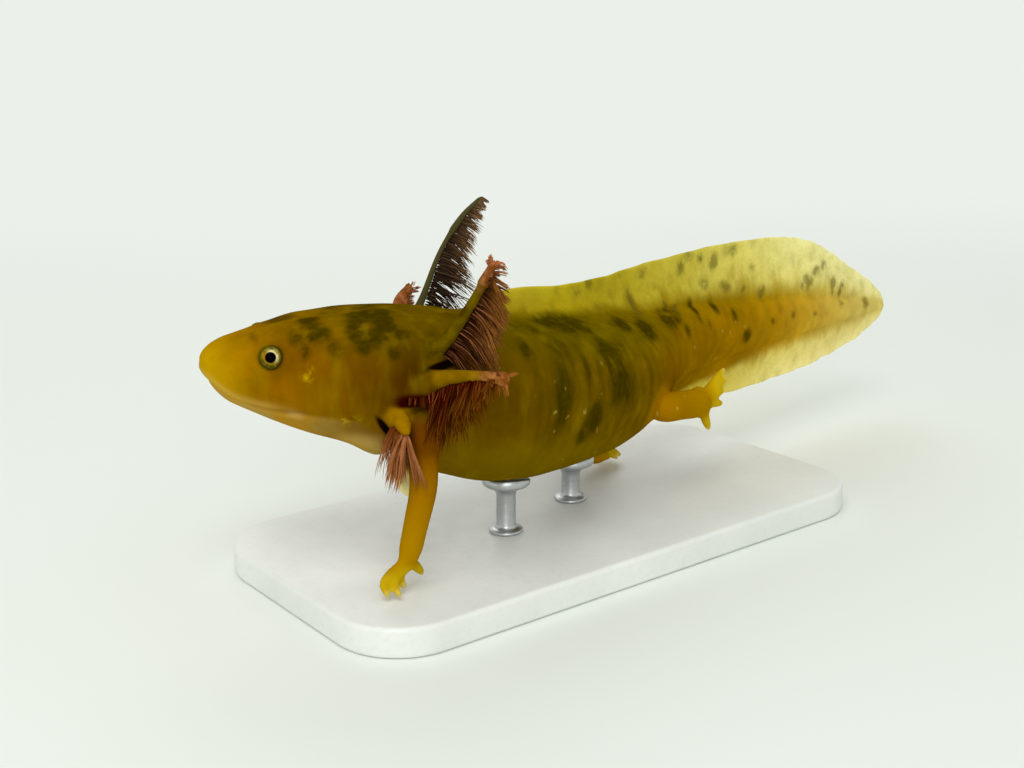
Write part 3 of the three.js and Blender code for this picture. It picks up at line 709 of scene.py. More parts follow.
fin_edge = np.where(over > 0, back_fin(s), tail_fin(s))
fin_share = np.clip((abs(over) - fin_top) / np.maximum(fin_edge - fin_top, 1), 0, 1)
fin_share *= np.where(over > 0, ease(44, 54, s), ease(120, 138, s)) * (1 - limb_share) * (1 - stalk_share)
fin_share *= 1 - ease(3, 5, abs(across))
# Each blotch, by the flank it is on: station, height, half length, half height, depth and lean.
BLOTCHES = {
    1: (
        (19.4, 8.2, 2.3, 1.9, 1), (16.6, 6.6, 1.9, 1.3, 0.8), (21.6, 8.2, 1.6, 1.2, 0.7),
        (18, 4.9, 1.4, 1.7, 0.75), (23.8, 6.2, 2.2, 1.7, 0.6), (27.2, 9.3, 2.1, 2.3, 1),
        (28, 7.6, 2, 1.7, 0.95), (32, 10.8, 2.3, 1.7, 1), (30.8, 9, 2.6, 1.8, 1),
        (35, 9.5, 2.4, 0.9, 0.65), (33.6, 6.9, 1.3, 1.4, 0.75), (9, 5.6, 1.3, 0.8, 0.45),
        (40.5, 9.2, 1.4, 2.4, 0.6), (77.4, 3.4, 5.2, 7.4, 1, -0.2), (70.6, -5.2, 3.2, 4, 0.8),
        (68.5, -9, 3, 2.4, 0.6), (81, 8, 3, 2.4, 0.6), (60.4, -2, 2.9, 8.6, 0.85),
        (61.6, 8.4, 2.6, 2.4, 0.65), (54.5, 8.2, 1.1, 2, 0.7), (67, 5, 1.2, 5, 0.45),
        (71.5, 12.4, 8, 1.9, 1), (58, 11.4, 5, 1.3, 0.5), (98, 9.8, 6.5, 2.4, 1), (91, 11.6, 5, 1.4, 0.8),
        (90, 2, 1.4, 6, 0.4), (117, 8.3, 5.6, 2.2, 0.85), (122, 4.7, 1.6, 2, 0.55), (130, 8, 1.1, 2.8, 1),
        (139, 7.2, 1.5, 1.8, 0.9), (146, 4.5, 1.5, 2, 0.8), (133, 4, 1.4, 1.8, 0.55),
        (151.5, -1.1, 2.8, 2.2, 0.7), (163.5, 1, 1.1, 1.1, 0.7), (167.5, 3.2, 1.2, 1.2, 0.55),
        (173.5, 1.6, 1.3, 1.4, 0.55),
    ),
    -1: (
        (16, 6, 4, 2.2, 1), (25, 8, 4.6, 2.8, 0.9), (34, 7.4, 4.4, 3, 0.9, 0.2), (50, 6, 4.6, 7, 0.8),
        (63, 2, 4, 10, 0.9, 0.1), (70, 11, 6.5, 2.6, 0.9), (79, 1, 4.6, 8, 1), (92, 5, 4, 7, 0.8),
        (104, 8, 5, 3, 0.8), (118, 7, 4, 2.4, 0.8), (133, 5, 2.6, 2.4, 0.7), (149, 6, 2, 1.6, 0.7),
        (165, 3, 2, 1.4, 0.6),
    ),
    0: (
        (27, 11.2, 6, 1, 0.7), (184.5, 0.9, 1.4, 1, 0.5),
    ),
}
# The smoky spots on the fins, in the same way, which show through from both sides.
FIN_SPOTS = (
    (84.5, 18.2, 2.6, 2.21, 0.5), (90, 19.4, 2.08, 1.56, 0.7), (103.5, 20, 1.43, 1.04, 0.6),
    (107, 13.4, 1.43, 3.51, 0.9), (112.5, 19, 2.6, 1.56, 0.8), (119.5, 10.9, 0.91, 0.91, 1),
    (123, 9.4, 1.17, 1.17, 1), (127.5, 17.8, 1.95, 2.08, 0.9), (130.5, 20.2, 2.21, 1.69, 0.6),
    (135.5, 19.3, 1.43, 1.43, 0.9), (137, 13, 2.34, 1.95, 0.7), (141.5, 17.8, 2.21, 2.21, 1),
    (145.5, 11.2, 2.34, 1.69, 0.7), (148.5, 19.8, 2.6, 2.21, 0.65), (153, 10, 1.3, 1.3, 0.6),
    (161, 8.4, 1.69, 2.08, 0.9), (181.5, 9.2, 2.86, 2.21, 0.95), (185.5, 11.8, 2.21, 1.69, 0.7),
    (189, 13.3, 2.08, 1.56, 0.75), (194.5, 7.5, 1.56, 2.47, 1), (198.5, 6.2, 1.3, 2.47, 1, 0.4),
    (198, 2, 1.56, 1.3, 0.6), (211, 1.6, 1.82, 1.56, 1), (157, 15, 1.56, 1.3, 0.4),
    (98, 16.5, 2.08, 1.56, 0.4), (118, 15, 1.56, 2.34, 0.4), (168, 13, 1.95, 1.56, 0.35),
)
blotches = [marked(*mark, flank=flank) for flank, marks in BLOTCHES.items() for mark in marks]
blotch_share = np.max(blotches, 0) * (1 - limb_share) * (1 - 0.7 * stalk_share)
smoky_share = np.max([marked(*mark) for mark in FIN_SPOTS], 0)
lit_share = 1 - ease(0, 9, s + 0.3 * (over + 2))
belly_share = (1 - ease(-14, -7, over)) * (1 - ease(100, 116, s)) * (1 - limb_share)
jaw_share = (1 - ease(-0.6, 0.6, over - mouth(s))) * (1 - ease(12, 34, s)) * ease(-0.5, 1, s)
jaw_share = np.maximum(jaw_share, (1 - ease(-12, -7.5, over)) * hump(s - 31, 8) * 0.9)
upper_share = ease(3, 11, over) * (1 - limb_share)
# Painted shade in the costal grooves, darkest down the middle of each groove.
groove_shade_share = (0.5 + 0.5 * np.cos(2 * math.pi * (s - COSTAL_FIRST + 0.12 * over) / COSTAL_PITCH)) ** 1.5
groove_shade_share *= ease(-17, -11, over) * (1 - ease(7, 11, over)) * ease(48, 56, s) * (1 - ease(88, 104, s))
groove_shade_share *= 1 - limb_share
lip_share = hump(over - mouth(s) - 0.8, 0.8) * (1 - ease(MOUTH_CORNER - 9, MOUTH_CORNER - 1, s))
orbit_share = np.max([
    hump(np.linalg.norm(spots - centre, axis=1) - 2.3, 0.55) for centre, _ in eyes.values()], 0)
# The gill slit's dark red flesh, deepened with painted shade in its cavity.
slit_flesh_and_shade_share = marked(38.8, -1.9, 4.6, 1.9) * ease(8, 10, abs(across)) * ease(-3.6, -2.6, over)
# Painted shade, near black, in the cleft over the middle stalk and in the gap before the lowest one.
cleft_shade_share = np.maximum(marked(42.1, 4.7, 3.2, 1.0, tilt=0.42), marked(33.8, -6.9, 0.9, 2.4, lean=-0.8))
cleft_shade_share *= ease(7, 9, abs(across)) * (1 - near([stalks["left_2"][0], stalks["right_2"][0]], 2.7))
brow_share = hump(over - 2.5, 6) * ease(6, 13, s) * (1 - ease(37, 44, s)) * (1 - stalk_share)
shade_share = marked(36.5, 0.6, 4.2, 4) * ease(8, 10, abs(across)) * (1 - stalk_share)
keel_share = (over < 0) * ease(112, 124, s)
GLINTS = ((18.5, 0.7, 1.1, 0.7), (19.1, 2.2, 0.5, 1), (26, -6.3, 1.4, 0.8, 0.8), (28.5, -5.4, 0.8, 0.6, 0.6))
glint_share = np.max([marked(*mark, flank=1) for mark in GLINTS], 0)
hip_share = marked(103, -4.5, 8, 7) * ease(3, 6, abs(across))
tip_share = near(digit_tips, 2.1)
milky_share = np.maximum(marked(17, -6.9, 1.6, 0.9), marked(30, -10.6, 4.5, 2))
limb_run = np.linspace(0, 1, 2 * LIMB_STEPS)
down_share = np.zeros(len(spots))
closest = np.full(len(spots), np.inf)
for line, limb in zip(limb_lines, LIMBS.values()):
    gaps = np.linalg.norm(spots[:, None] - line[None], axis=2)
    along_limb = limb["sleeve"] + (1 - limb["sleeve"]) * limb_run[np.argmin(gaps, 1)]
    reached = gaps.min(1) < closest
    down_share[reached] = along_limb[reached]
    closest = np.minimum(closest, gaps.min(1))
# Painted light on the far front hand, lifting it out of the shadow it hangs in.
far_hand_light_share = hand_share * (across < 0) * (s < 70)
SHARES = {
    "along": s / LENGTH, "limb": limb_share, "hand": hand_share, "stalk": stalk_share, "golden": golden_share,
    "dusky": dusky_share, "flush": flush_share, "fin": fin_share, "blotch": blotch_share, "lit": lit_share,
    "belly": belly_share, "jaw": jaw_share, "upper": upper_share, "groove_shade": groove_shade_share, "lip": lip_share,
    "orbit": orbit_share, "slit_flesh_and_shade": slit_flesh_and_shade_share, "cleft_shade": cleft_shade_share, "brow": brow_share, "shade": shade_share,
    "keel": keel_share, "glint": glint_share, "down": down_share, "far_hand_light": far_hand_light_share,
    "smoky": smoky_share, "hip": hip_share, "tip": tip_share, "milky": milky_share,
}
layers = {name: bm.verts.layers.float.new(name) for name in SHARES}
for name, share in SHARES.items():
    for vert, value in zip(bm.verts, share):
        vert[layers[name]] = value

skin_material, skin_tree, skin_shader = new_surface("moist_skin", Roughness=0.4, Specular_IOR_Level=0.0)


def mixed(tree, share, first, second, blend="MIX"):
    """A colour that goes from first to second as share goes from 0 to 1."""
    return add(tree, "Mix", {0: share, 6: first, 7: second}, data_type="RGBA", blend_type=blend).outputs[2]


def own_place(tree, scale=(1, 1, 1)):
    """The place in the piece's own space. A scale below 1 draws a pattern out along that axis."""
    place = add(tree, "TexCoord").outputs["Object"]
    return place if scale == (1, 1, 1) else add(tree, "Mapping", {0: place, 3: scale}).outputs[0]


def patchy(tree, scale, low, high, detail=3.0, rough=0.55, place=None):
    """Cloudy noise, stretched to 0 below low and 1 above high."""
    inputs = {"Vector": place or own_place(tree), "Scale": scale, "Detail": detail, "Roughness": rough}
    noise = add(tree, "TexNoise", inputs).outputs[0]
    return add(tree, "MapRange", {"Value": noise, "From Min": low, "From Max": high}).outputs[0]


def times(tree, first, second):
    """The product of two numbers, held between 0 and 1."""
    return add(tree, "Math", {0: first, 1: second}, operation="MULTIPLY", use_clamp=True).outputs[0]


def clouded(tree, scale, low, high, first, second, detail=3.0):
    """A tone with clouds of a second one in it, both written ones."""
    return mixed(tree, patchy(tree, scale, low, high, detail), paint(*first), paint(*second))


def share_of(tree, name):
    """A number kept on the piece's vertices."""
    return add(tree, "Attribute", attribute_name=name).outputs["Fac"]


def stretch(tree, value, low, high):
    """0 below low, 1 above high and a smooth step between."""
    limits = {"Value": value, "From Min": low, "From Max": high}
    return add(tree, "MapRange", limits, interpolation_type="SMOOTHSTEP").outputs[0]


def dots(tree, scale, size, edge, place=None):
    """Small round flecks, each in its own cell: 1 in the middle of a fleck."""
    inputs = {"Vector": place or own_place(tree), "Scale": scale, "Randomness": 1.0}
    cells = add(tree, "TexVoronoi", inputs).outputs["Distance"]
    return add(tree, "MapRange", {"Value": cells, "From Min": size + edge, "From Max": size}).outputs[0]


def mixed_value(tree, share, first, second):
    """A number that goes from first to second as share goes from 0 to 1."""
    return add(tree, "MapRange", {"Value": share, "To Min": first, "To Max": second}).outputs[0]


def coated(tree, colour, *coats):
    """A colour under coats in turn: share of the surface, strength there, colour and, if set, the blend."""
    for share, strength, coat, *blend in coats:
        colour = mixed(tree, times(tree, share, strength), colour, coat, *blend)
    return colour


def scale_of(tree, value, stops):
    """A colour read off a scale of (station, colour) stops, value being the station's share of the length."""
    made = add(tree, "ValToRGB", {0: value})
    elements = made.color_ramp.elements
    for number, (at, colour) in enumerate(stops):
        stop = elements[number] if number < 2 else elements.new(at / LENGTH)
        stop.position = at / LENGTH
        stop.color = paint(*colour)
    return made.outputs[0]


# Tones from snout to tail tip: the hide's own, the fins' where they leave the body, and at their edges, the
# fins' own paler yellow lifted with painted light shining through them.
HIDE = (
    (0, (178, 130, 0)), (6, (166, 116, 0)), (13, (148, 100, 0)), (22, (134, 91, 0)), (32, (110, 75, 0)),
    (46, (102, 71, 0)), (62, (106, 80, 0)), (82, (114, 86, 0)), (100, (130, 95, 0)), (130, (152, 109, 0)),
    (150, (164, 119, 3)), (166, (184, 136, 14)), (180, (202, 158, 38)), (196, (216, 182, 74)),
    (LENGTH, (226, 206, 118)))
FIN_FOOT_TONE_AND_GLOW = (
    (44, (142, 106, 4)), (60, (152, 124, 4)), (76, (166, 142, 6)), (100, (180, 160, 34)),
    (124, (192, 174, 48)), (150, (208, 190, 82)), (170, (230, 213, 98)), (200, (222, 202, 108)),
    (LENGTH, (244, 228, 140)))
FIN_RIM_TONE_AND_GLOW = (
    (44, (190, 164, 20)), (60, (204, 184, 44)), (76, (206, 186, 36)), (92, (184, 164, 32)),
    (106, (198, 178, 44)), (130, (212, 196, 76)), (150, (236, 222, 110)), (176, (255, 247, 168)),
    (LENGTH, (255, 248, 184)))
# Tones down a limb, from its root to its end, on the same scale. The dark red at the start is partly painted
# shade under the gills, where the front limbs' roots are.
LIMB_TONES_AND_SHADE = (
    (0, (116, 58, 6)), (50, (106, 58, 0)), (90, (140, 90, 0)), (140, (160, 112, 0)), (LENGTH, (176, 132, 0)))
STRAY = 0.0022  # metres by which the flecks leave their even spread
t = skin_tree
(
    along, limb, hand, stalk, golden, dusky, flush, fin, blotch, lit, belly, jaw, upper, groove_shade, lip, orbit,
    slit_flesh_and_shade, cleft_shade, brow, shade, keel, glint, down, far_hand_light, smoky, hip, tip, milky,
) = [share_of(t, name) for name in SHARES]
upright = own_place(t, (1, 1, 0.25))
wander = add(t, "TexNoise", {"Vector": own_place(t), "Scale": 500, "Detail": 2}).outputs["Color"]
jitter = add(t, "VectorMath", {0: wander, 1: (STRAY, STRAY, STRAY)}, operation="MULTIPLY").outputs[0]
strewn = add(t, "VectorMath", {0: own_place(t), 1: jitter}, operation="ADD").outputs[0]
stood = add(t, "Mapping", {0: strewn, 3: (1, 1, 0.7)}).outputs[0]

# The hide of head and trunk: clouded, streaked upright, with painted shade in the grooves and behind the
# gills, painted light paling the snout, and paler on jaw and belly.
cloudy = mixed(t, patchy(t, 110, 0.35, 0.65), (0.84, 0.84, 0.84, 1), (1.12, 1.12, 1.12, 1))
streaks = patchy(t, 380, 0.36, 0.68, 3, 0.55, upright)
throat = clouded(t, 160, 0.4, 0.62, (184, 138, 38), (178, 150, 74))
body = coated(
    t, scale_of(t, along, HIDE),
    (1, 1, cloudy, "MULTIPLY"),
    (patchy(t, 420, 0.48, 0.72, 5), 0.4, (0.78, 0.8, 0.8, 1), "MULTIPLY"),
    (upper, 1, (0.94, 1.16, 1, 1), "MULTIPLY"),
    (brow, 1, (0.76, 0.7, 1, 1), "MULTIPLY"),
    (shade, 0.6, paint(74, 38, 0)),
    (streaks, 0.6, (0.8, 0.82, 0.8, 1), "MULTIPLY"),
    (patchy(t, 300, 0.5, 0.75, 2, 0.5, upright), 0.3, paint(150, 126, 4)),
    (times(t, groove_shade, streaks), 0.4, paint(60, 50, 0)),
    (belly, 0.5, paint(124, 102, 2)),
    (lit, 0.8, paint(196, 154, 4)),
    (jaw, 0.8, throat),
    (hip, 0.6, paint(142, 94, 2)),
    (milky, 0.32, paint(206, 180, 110)),
)

# The limbs, paler towards the digits' tips, and the far hand painted paler still, painted light that lifts it
# out of its shadow.
worn = mixed(t, times(t, patchy(t, 160, 0.35, 0.7), 0.5), scale_of(t, down, LIMB_TONES_AND_SHADE), paint(170, 124, 0))
body = coated(
    t, mixed(t, limb, body, mixed(t, down, scale_of(t, down, LIMB_TONES_AND_SHADE), worn)),
    (hip, 0.5, (0.76, 0.74, 1, 1), "MULTIPLY"),
    (hand, 0.8, paint(200, 168, 16)),
    (tip, 0.55, paint(226, 206, 100)),
    (far_hand_light, 1, paint(254, 244, 172)),
)

# The fins, freckled thin films whose foot is lost in the flesh, with painted light showing through them.
blade = coated(
    t, mixed(t, fin, scale_of(t, along, FIN_FOOT_TONE_AND_GLOW), scale_of(t, along, FIN_RIM_TONE_AND_GLOW)),
    (patchy(t, 260, 0.42, 0.66, 5), 0.5, (0.78, 0.76, 0.5, 1), "MULTIPLY"),
    (patchy(t, 1300, 0.45, 0.7, 3), 0.4, (0.8, 0.78, 0.6, 1), "MULTIPLY"),
    (keel, 1, (1, 0.94, 0.86, 1), "MULTIPLY"),
)
border = times(t, fin, mixed_value(t, patchy(t, 200, 0.3, 0.7, 4, 0.6, upright), 0.55, 1.5))
body = mixed(t, stretch(t, border, 0.0, 0.46), body, blade)

# The dark blotches with ragged edges, the fins' fine spots and their large smoky ones.
edge_noise = patchy(t, 260, 0.26, 0.74, 4, 0.6, upright)
ragged = add(t, "Math", {0: blotch, 1: edge_noise}, operation="MULTIPLY").outputs[0]
dark = add(t, "Math", {0: ragged, 1: times(t, blotch, 0.22)}, operation="ADD").outputs[0]
freckled = times(t, stretch(t, dark, 0.05, 0.62), mixed_value(t, patchy(t, 800, 0.35, 0.65, 2), 0.82, 1.0))
fine_spots = times(t, dots(t, 205, 0.14, 0.28, stood), patchy(t, 90, 0.4, 0.54))
smoke = times(t, smoky, mixed_value(t, patchy(t, 430, 0.3, 0.66, 5, 0.65), 0.2, 1.4))
body = coated(
    t, body,
    (freckled, 0.9, paint(50, 42, 0)),
    (times(t, fine_spots, stretch(t, fin, 0.0, 0.2)), 0.25, paint(104, 88, 26)),
    (stretch(t, smoke, 0.03, 0.78), 0.64, paint(92, 82, 26)),
)

# The gills' stalks, olive, golden or dusky, with a pitted rosy flush at the tips.
stem = clouded(t, 300, 0.4, 0.65, (104, 84, 0), (72, 54, 0))
stem = mixed(t, golden, stem, clouded(t, 260, 0.4, 0.66, (162, 118, 2), (132, 94, 0)))
rosy = clouded(t, 700, 0.4, 0.6, (128, 64, 26), (176, 108, 66))
rosy = coated(t, rosy, (dots(t, 900, 0.12, 0.3), 0.5, paint(92, 36, 12)))
flushed = times(t, flush, mixed_value(t, patchy(t, 420, 0.35, 0.65), 0.75, 1.3))

# Over all: the slit's dark red flesh with painted shade in it, painted shade in its cleft, glints of gold,
# the lips, the sockets' rims, and flecks behind the head.
fleck = times(t, dots(t, 330, 0.04, 0.13, stood), patchy(t, 110, 0.42, 0.52))
fleck = times(t, times(t, fleck, stretch(t, upper, 0.6, 0.1)), stretch(t, along, 0.19, 0.25))
body = coated(
    t, mixed(t, stalk, body, mixed(t, dusky, stem, paint(76, 70, 38))),
    (flushed, 0.88, rosy),
    (stretch(t, slit_flesh_and_shade, 0.1, 0.7), 1, paint(60, 8, 0)),
    (stretch(t, cleft_shade, 0.1, 0.7), 1, paint(18, 5, 0)),
    (times(t, glint, patchy(t, 1100, 0.42, 0.6, 3)), 0.52, paint(216, 182, 10)),
    (lip, 0.4, paint(214, 178, 84)),
    (orbit, 0.25, paint(84, 74, 8)),
    (fleck, 0.42, paint(196, 178, 80)),
)
t.links.new(body, skin_shader.inputs["Base Color"])
grain = patchy(t, 1500, 0.2, 0.8, 4)
bump = add(t, "Bump", {"Strength": 0.25, "Distance": 0.00012, "Height": grain})
t.links.new(bump.outputs[0], skin_shader.inputs["Normal"])
skin = object_of(bm, "skin", skin_material)
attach(skin, "root")
FLESH = [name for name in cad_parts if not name.startswith(("stand_", "eye_"))]
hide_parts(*FLESH)


# ---------------------------------------------------------------------------------------------------------
# Gill filaments. Soft hair-fine fringes in rows along the rear of each stalk, dark red with blood, pinker
# towards the stalk's tip, and darker towards their roots and the stalk's root, partly with painted shade in
# the thick of the fringe. Each is a tapered thread of rubber set into the stalk and left to hang.
# ---------------------------------------------------------------------------------------------------------
THREAD = (0.125, 0.115, 0.045)  # radius at its root, its middle and its tip
THREAD_RINGS, THREAD_SIDES = 9, 5
THREAD_SET = 0.45  # how far out in the stalk a thread's root is, as a share of the stalk's radius
LAST_RANK = 0.985  # the last rank's place on the stalk
BANDS = (-1, 0, 1)
BAKE_PATCH = 0.003  # how wide one thread's patch is on the sheet that its colours are laid out on
# Each fringe hangs in ranks along its stalk, in three bands, and in each the threads gather towards one end.
# long is their length, threads their number in a band of the first rank and the last, first the first rank's
# place on the stalk, droop how far they bend down, fan and splay how wide the bands open and the last ranks
# spread, lean how far they point along the stalk, under the share of short ones, lengths the share of the
# length along the stalk, and tones those of the roots, darkened with painted shade, the ends and the stalk's
# tip.
FRINGES = {
    "left_1": dict(
        long=7.4, ranks=22, threads=(9, 15), first=0.2, droop=0.6,
        fan=0.35, splay=1.5, lean=0.25, under=0.3,
        lengths=((0.2, 1.15), (0.45, 1), (0.7, 0.78), (0.9, 0.5), (1, 0.42)),
        tones=((32, 9, 0), (146, 92, 36), (186, 116, 76))),
    "left_2": dict(
        long=9.8, ranks=24, threads=(8, 11), first=0.07, droop=0.05,
        fan=0.3, splay=1.1, lean=0.06, under=0.3,
        lengths=((0.05, 0.2), (0.24, 0.42), (0.34, 1.22), (0.6, 0.92), (0.8, 0.5), (0.9, 0.32), (1, 0.22)),
        tones=((62, 5, 0), (112, 64, 4), (160, 98, 40))),
    "left_3": dict(
        long=8.6, ranks=16, threads=(8, 11), first=0.36, droop=0.7,
        fan=0.36, splay=0.08, lean=-0.05, under=0.3,
        lengths=((0.36, 0.45), (0.6, 0.6), (0.8, 0.74), (1, 0.72)),
        tones=((106, 50, 12), (166, 104, 58), (170, 108, 66))),
    "right_1": dict(
        long=9.6, ranks=24, threads=(3, 18), first=0.2, droop=0.4,
        fan=0.25, splay=0.2, lean=0.0, under=0.55,
        lengths=((0.2, 1.05), (0.45, 0.92), (0.6, 0.64), (0.8, 0.4), (1, 0.16)),
        tones=((46, 32, 24), (144, 106, 72), (112, 88, 62))),
    "right_2": dict(
        long=1.7, ranks=7, threads=(6, 6), first=0.6, droop=0.1,
        fan=0.5, splay=0.5, lean=0.4, under=0.3,
        lengths=((0, 1), (1, 1)),
        tones=((130, 76, 44), (170, 116, 78), (172, 112, 80))),
    "right_3": dict(
        long=8.4, ranks=11, threads=(8, 9), first=0.5, droop=0.1,
        fan=0.3, splay=0.2, lean=0, under=0.3,
        lengths=((0.5, 0.35), (0.75, 0.8), (0.9, 1), (1, 1)),
        tones=((100, 42, 20), (160, 92, 50), (160, 92, 60))),
}
random = np.random.default_rng(7)


def on_stalk(stalk, stem, turn):
    """A root's place on a stalk, the way out of it, the stalk's run there and the way beside it."""
    line, tangents, fall, girth_along, flatness = stalk
    run = np.linspace(0, 1, len(line))
    at_stem, along_stem = (
        np.array([np.interp(stem, run, rows[:, axis]) for axis in range(3)]) for rows in (line, tangents))
    beside = unit(np.cross(along_stem, fall))
    thick = np.interp(stem, np.linspace(0, 1, len(girth_along)), girth_along)
    out = fall * flatness * math.cos(turn) + beside * math.sin(turn)
    way = fall * math.cos(turn) + beside * math.sin(turn)
    return at_stem + out * thick * THREAD_SET, way, along_stem, beside


def band_course(fringe, stalk, stem, band):
    """What one band of a rank shares: course, places down it, root, turn, the way beside it and length."""
    tuft = ease(0.8, 1.0, stem) * fringe["splay"]
    turn = (band + random.uniform(-0.5, 0.5)) * fringe["fan"] + 2.2 * band * tuft
    root, way, along_stem, beside = on_stalk(stalk, stem, turn)
    way = way + along_stem * (fringe["lean"] + 0.9 * tuft + random.uniform(-0.07, 0.07))
    way = unit(way + tuft * random.normal(0, 0.2, 3))
    length = fringe["long"] * profile(*fringe["lengths"])(stem) * random.uniform(0.84, 1.08)
    curl = beside * random.uniform(-0.15, 0.15) + along_stem * random.uniform(-0.18, 0.16)
    curl = curl + (0, 0, -fringe["droop"] * random.uniform(0.8, 1.2))
    share = np.linspace(0, 1, THREAD_RINGS)[:, None]
    wave = random.uniform(0, 6.3)
    wobble = beside * np.sin(share * 6 + wave) + along_stem * np.cos(share * 5 + wave)
    course = way * share + curl * share ** 2 + 0.04 * (wobble - wobble[0]) * share
    return course, share, root, turn, beside, length


def add_thread(bm, fringe, stalk, band, stem, spacing, layers, bake):
    """One thread of a band, with a root of its own, its paint's shares and its patch for the bake."""
    course, share, root, turn, beside, length = band
    own_stem = np.clip(stem + spacing * random.uniform(-0.5, 0.5), 0, 0.99)
    own_turn = turn + random.uniform(-0.3, 0.3)
    own_root = on_stalk(stalk, own_stem, own_turn)[0]
    short = random.uniform() < fringe["under"]
    own_length = length * (random.uniform(0.35, 0.65) if short else random.uniform(0.85, 1.05))
    stray = random.normal(0, 0.05, 3) * share * own_length
    thread = root + own_length * course + (own_root - root) * (1 - 0.65 * share) + stray
    girth = np.interp(share[:, 0], (0, 0.5, 1), THREAD)
    girth[[0, -1]] = 0
    count = len(bm.faces)
    swept(bm, thread, girth, girth, beside, THREAD_SIDES)
    bm.faces.ensure_lookup_table()
    # Threads nearer the stalk's root reach less far up their tones: painted shade in the thick of the fringe.
    light_reach = random.uniform(0.6, 1.1) * (0.15 + 1.25 * own_stem)
    # Some threads are paler: partly their own tone, partly painted highlights in the dark mass.
    pale_and_sheen = random.uniform() ** 4
    u, v = 0.03 + 0.94 * own_stem, 0.5 + 0.9 * own_turn / (2 * math.pi)
    for face in bm.faces[count:]:
        for loop in face.loops:
            out = np.linalg.norm(np.array(loop.vert.co) / MM - own_root) / length
            for key, value in (("reach", out * light_reach), ("stem", own_stem), ("pale_and_sheen", pale_and_sheen)):
                loop.vert[layers[key]] = value
            aside = random.uniform(-0.5, 0.5)
            loop[bake].uv = (u + BAKE_PATCH * (out - 0.5), v + BAKE_PATCH * aside)


for name, fringe in FRINGES.items():
    line, fall = stalks[name]
    stalk = (line, unit(np.gradient(line, axis=0)), fall, GILLS[name]["girth"], GILLS[name]["flatness"])
    bm = bmesh.new()
    bake = bm.loops.layers.uv.new("OFBake")
    layers = {key: bm.verts.layers.float.new(key) for key in ("reach", "stem", "pale_and_sheen")}
    spacing = (LAST_RANK - fringe["first"]) / fringe["ranks"]
    for rank in range(fringe["ranks"]):
        for side_of_rank in BANDS:
            stem = fringe["first"] + spacing * (rank + 0.5 + random.uniform(-0.12, 0.12))
            band = band_course(fringe, stalk, stem, side_of_rank)
            for _ in range(round(np.interp(stem, (fringe["first"], 1), fringe["threads"]))):
                add_thread(bm, fringe, stalk, band, stem, spacing, layers, bake)
    bmesh.ops.recalc_face_normals(bm, faces=bm.faces)
    material, t, shader = new_surface("gill_thread_" + name, Roughness=0.42, Specular_IOR_Level=0.0)
    deep, outer, tip_tone = (paint(*tone) for tone in fringe["tones"])
    colour = mixed(t, stretch(t, share_of(t, "reach"), 0.05, 1.0), deep, outer)
    colour = mixed(t, times(t, share_of(t, "pale_and_sheen"), 0.6), colour, tip_tone)
    colour = mixed(t, stretch(t, share_of(t, "stem"), 0.84, 1.0), colour, tip_tone)
    colour = mixed(t, times(t, patchy(t, 500, 0.4, 0.7), 0.3), colour, deep)
    t.links.new(colour, shader.inputs["Base Color"])
    threads = object_of(bm, "filaments_" + name, material)
    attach(threads, "root")
    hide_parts("gill_" + name)

# ---------------------------------------------------------------------------------------------------------
# Eyes. Small lidless glossy balls: a round black pupil, a thin pale gold ring round it and a dark olive
# iris flecked with gold. Cast in clear-coated resin and set into the skin.
# ---------------------------------------------------------------------------------------------------------
PUPIL, GOLD, RIM = 1.0, 1.3, 1.8  # radii of the pupil, the gold ring and the iris
to_rear_and_up = point(EYE, 1, 0, 0.9) - point(EYE, 0, 0, 0)
for name, (centre, axis) in eyes.items():
    bm = bmesh.new()
    made = bmesh.ops.create_uvsphere(bm, u_segments=48, v_segments=32, radius=EYE_RADIUS * MM)["verts"]
    turn = Vector((0, 0, 1)).rotation_difference(Vector(axis)).to_matrix()
    bmesh.ops.rotate(bm, verts=made, matrix=turn)
    bmesh.ops.translate(bm, verts=made, vec=Vector(centre) * MM)
    disc = bm.verts.layers.float.new("disc")
    sheen = bm.verts.layers.float.new("sheen")
    for vert in bm.verts:
        away = np.array(vert.co) / MM - centre
        beside = away - (away @ axis) * axis
        vert[disc] = np.linalg.norm(beside) + (3 if away @ axis < 0 else 0)
        towards_light = (beside @ to_rear_and_up) / max(np.linalg.norm(beside), 0.1) / 1.35
        vert[sheen] = 0.5 + 0.5 * towards_light
    material, t, shader = new_surface(
        "eye_" + name, Roughness=0.35, Specular_IOR_Level=0.0, Coat_Weight=0.025, Coat_Roughness=0.05)
    radius = share_of(t, "disc")
    lit_side = stretch(t, share_of(t, "sheen"), 0.35, 0.95)
    iris = coated(
        t, clouded(t, 1100, 0.4, 0.62, (70, 64, 8), (150, 124, 20), 5),
        (times(t, lit_side, patchy(t, 1700, 0.4, 0.6, 3)), 0.8, paint(186, 164, 84)),
        (stretch(t, radius, RIM - 0.25, RIM + 0.15), 1, paint(84, 80, 10)),
    )
    gold = mixed(t, lit_side, paint(132, 106, 16), paint(222, 212, 146))
    gold = mixed(t, patchy(t, 900, 0.5, 0.62, 3), gold, paint(168, 118, 6))
    colour = mixed(t, stretch(t, radius, GOLD - 0.1, GOLD + 0.3), gold, iris)
    colour = mixed(t, stretch(t, radius, PUPIL - 0.08, PUPIL + 0.06), paint(2, 2, 2), colour)
    t.links.new(colour, shader.inputs["Base Color"])
    ball = object_of(bm, "eyeball_" + name, material)
    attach(ball, "root")
    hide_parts("eye_" + name)

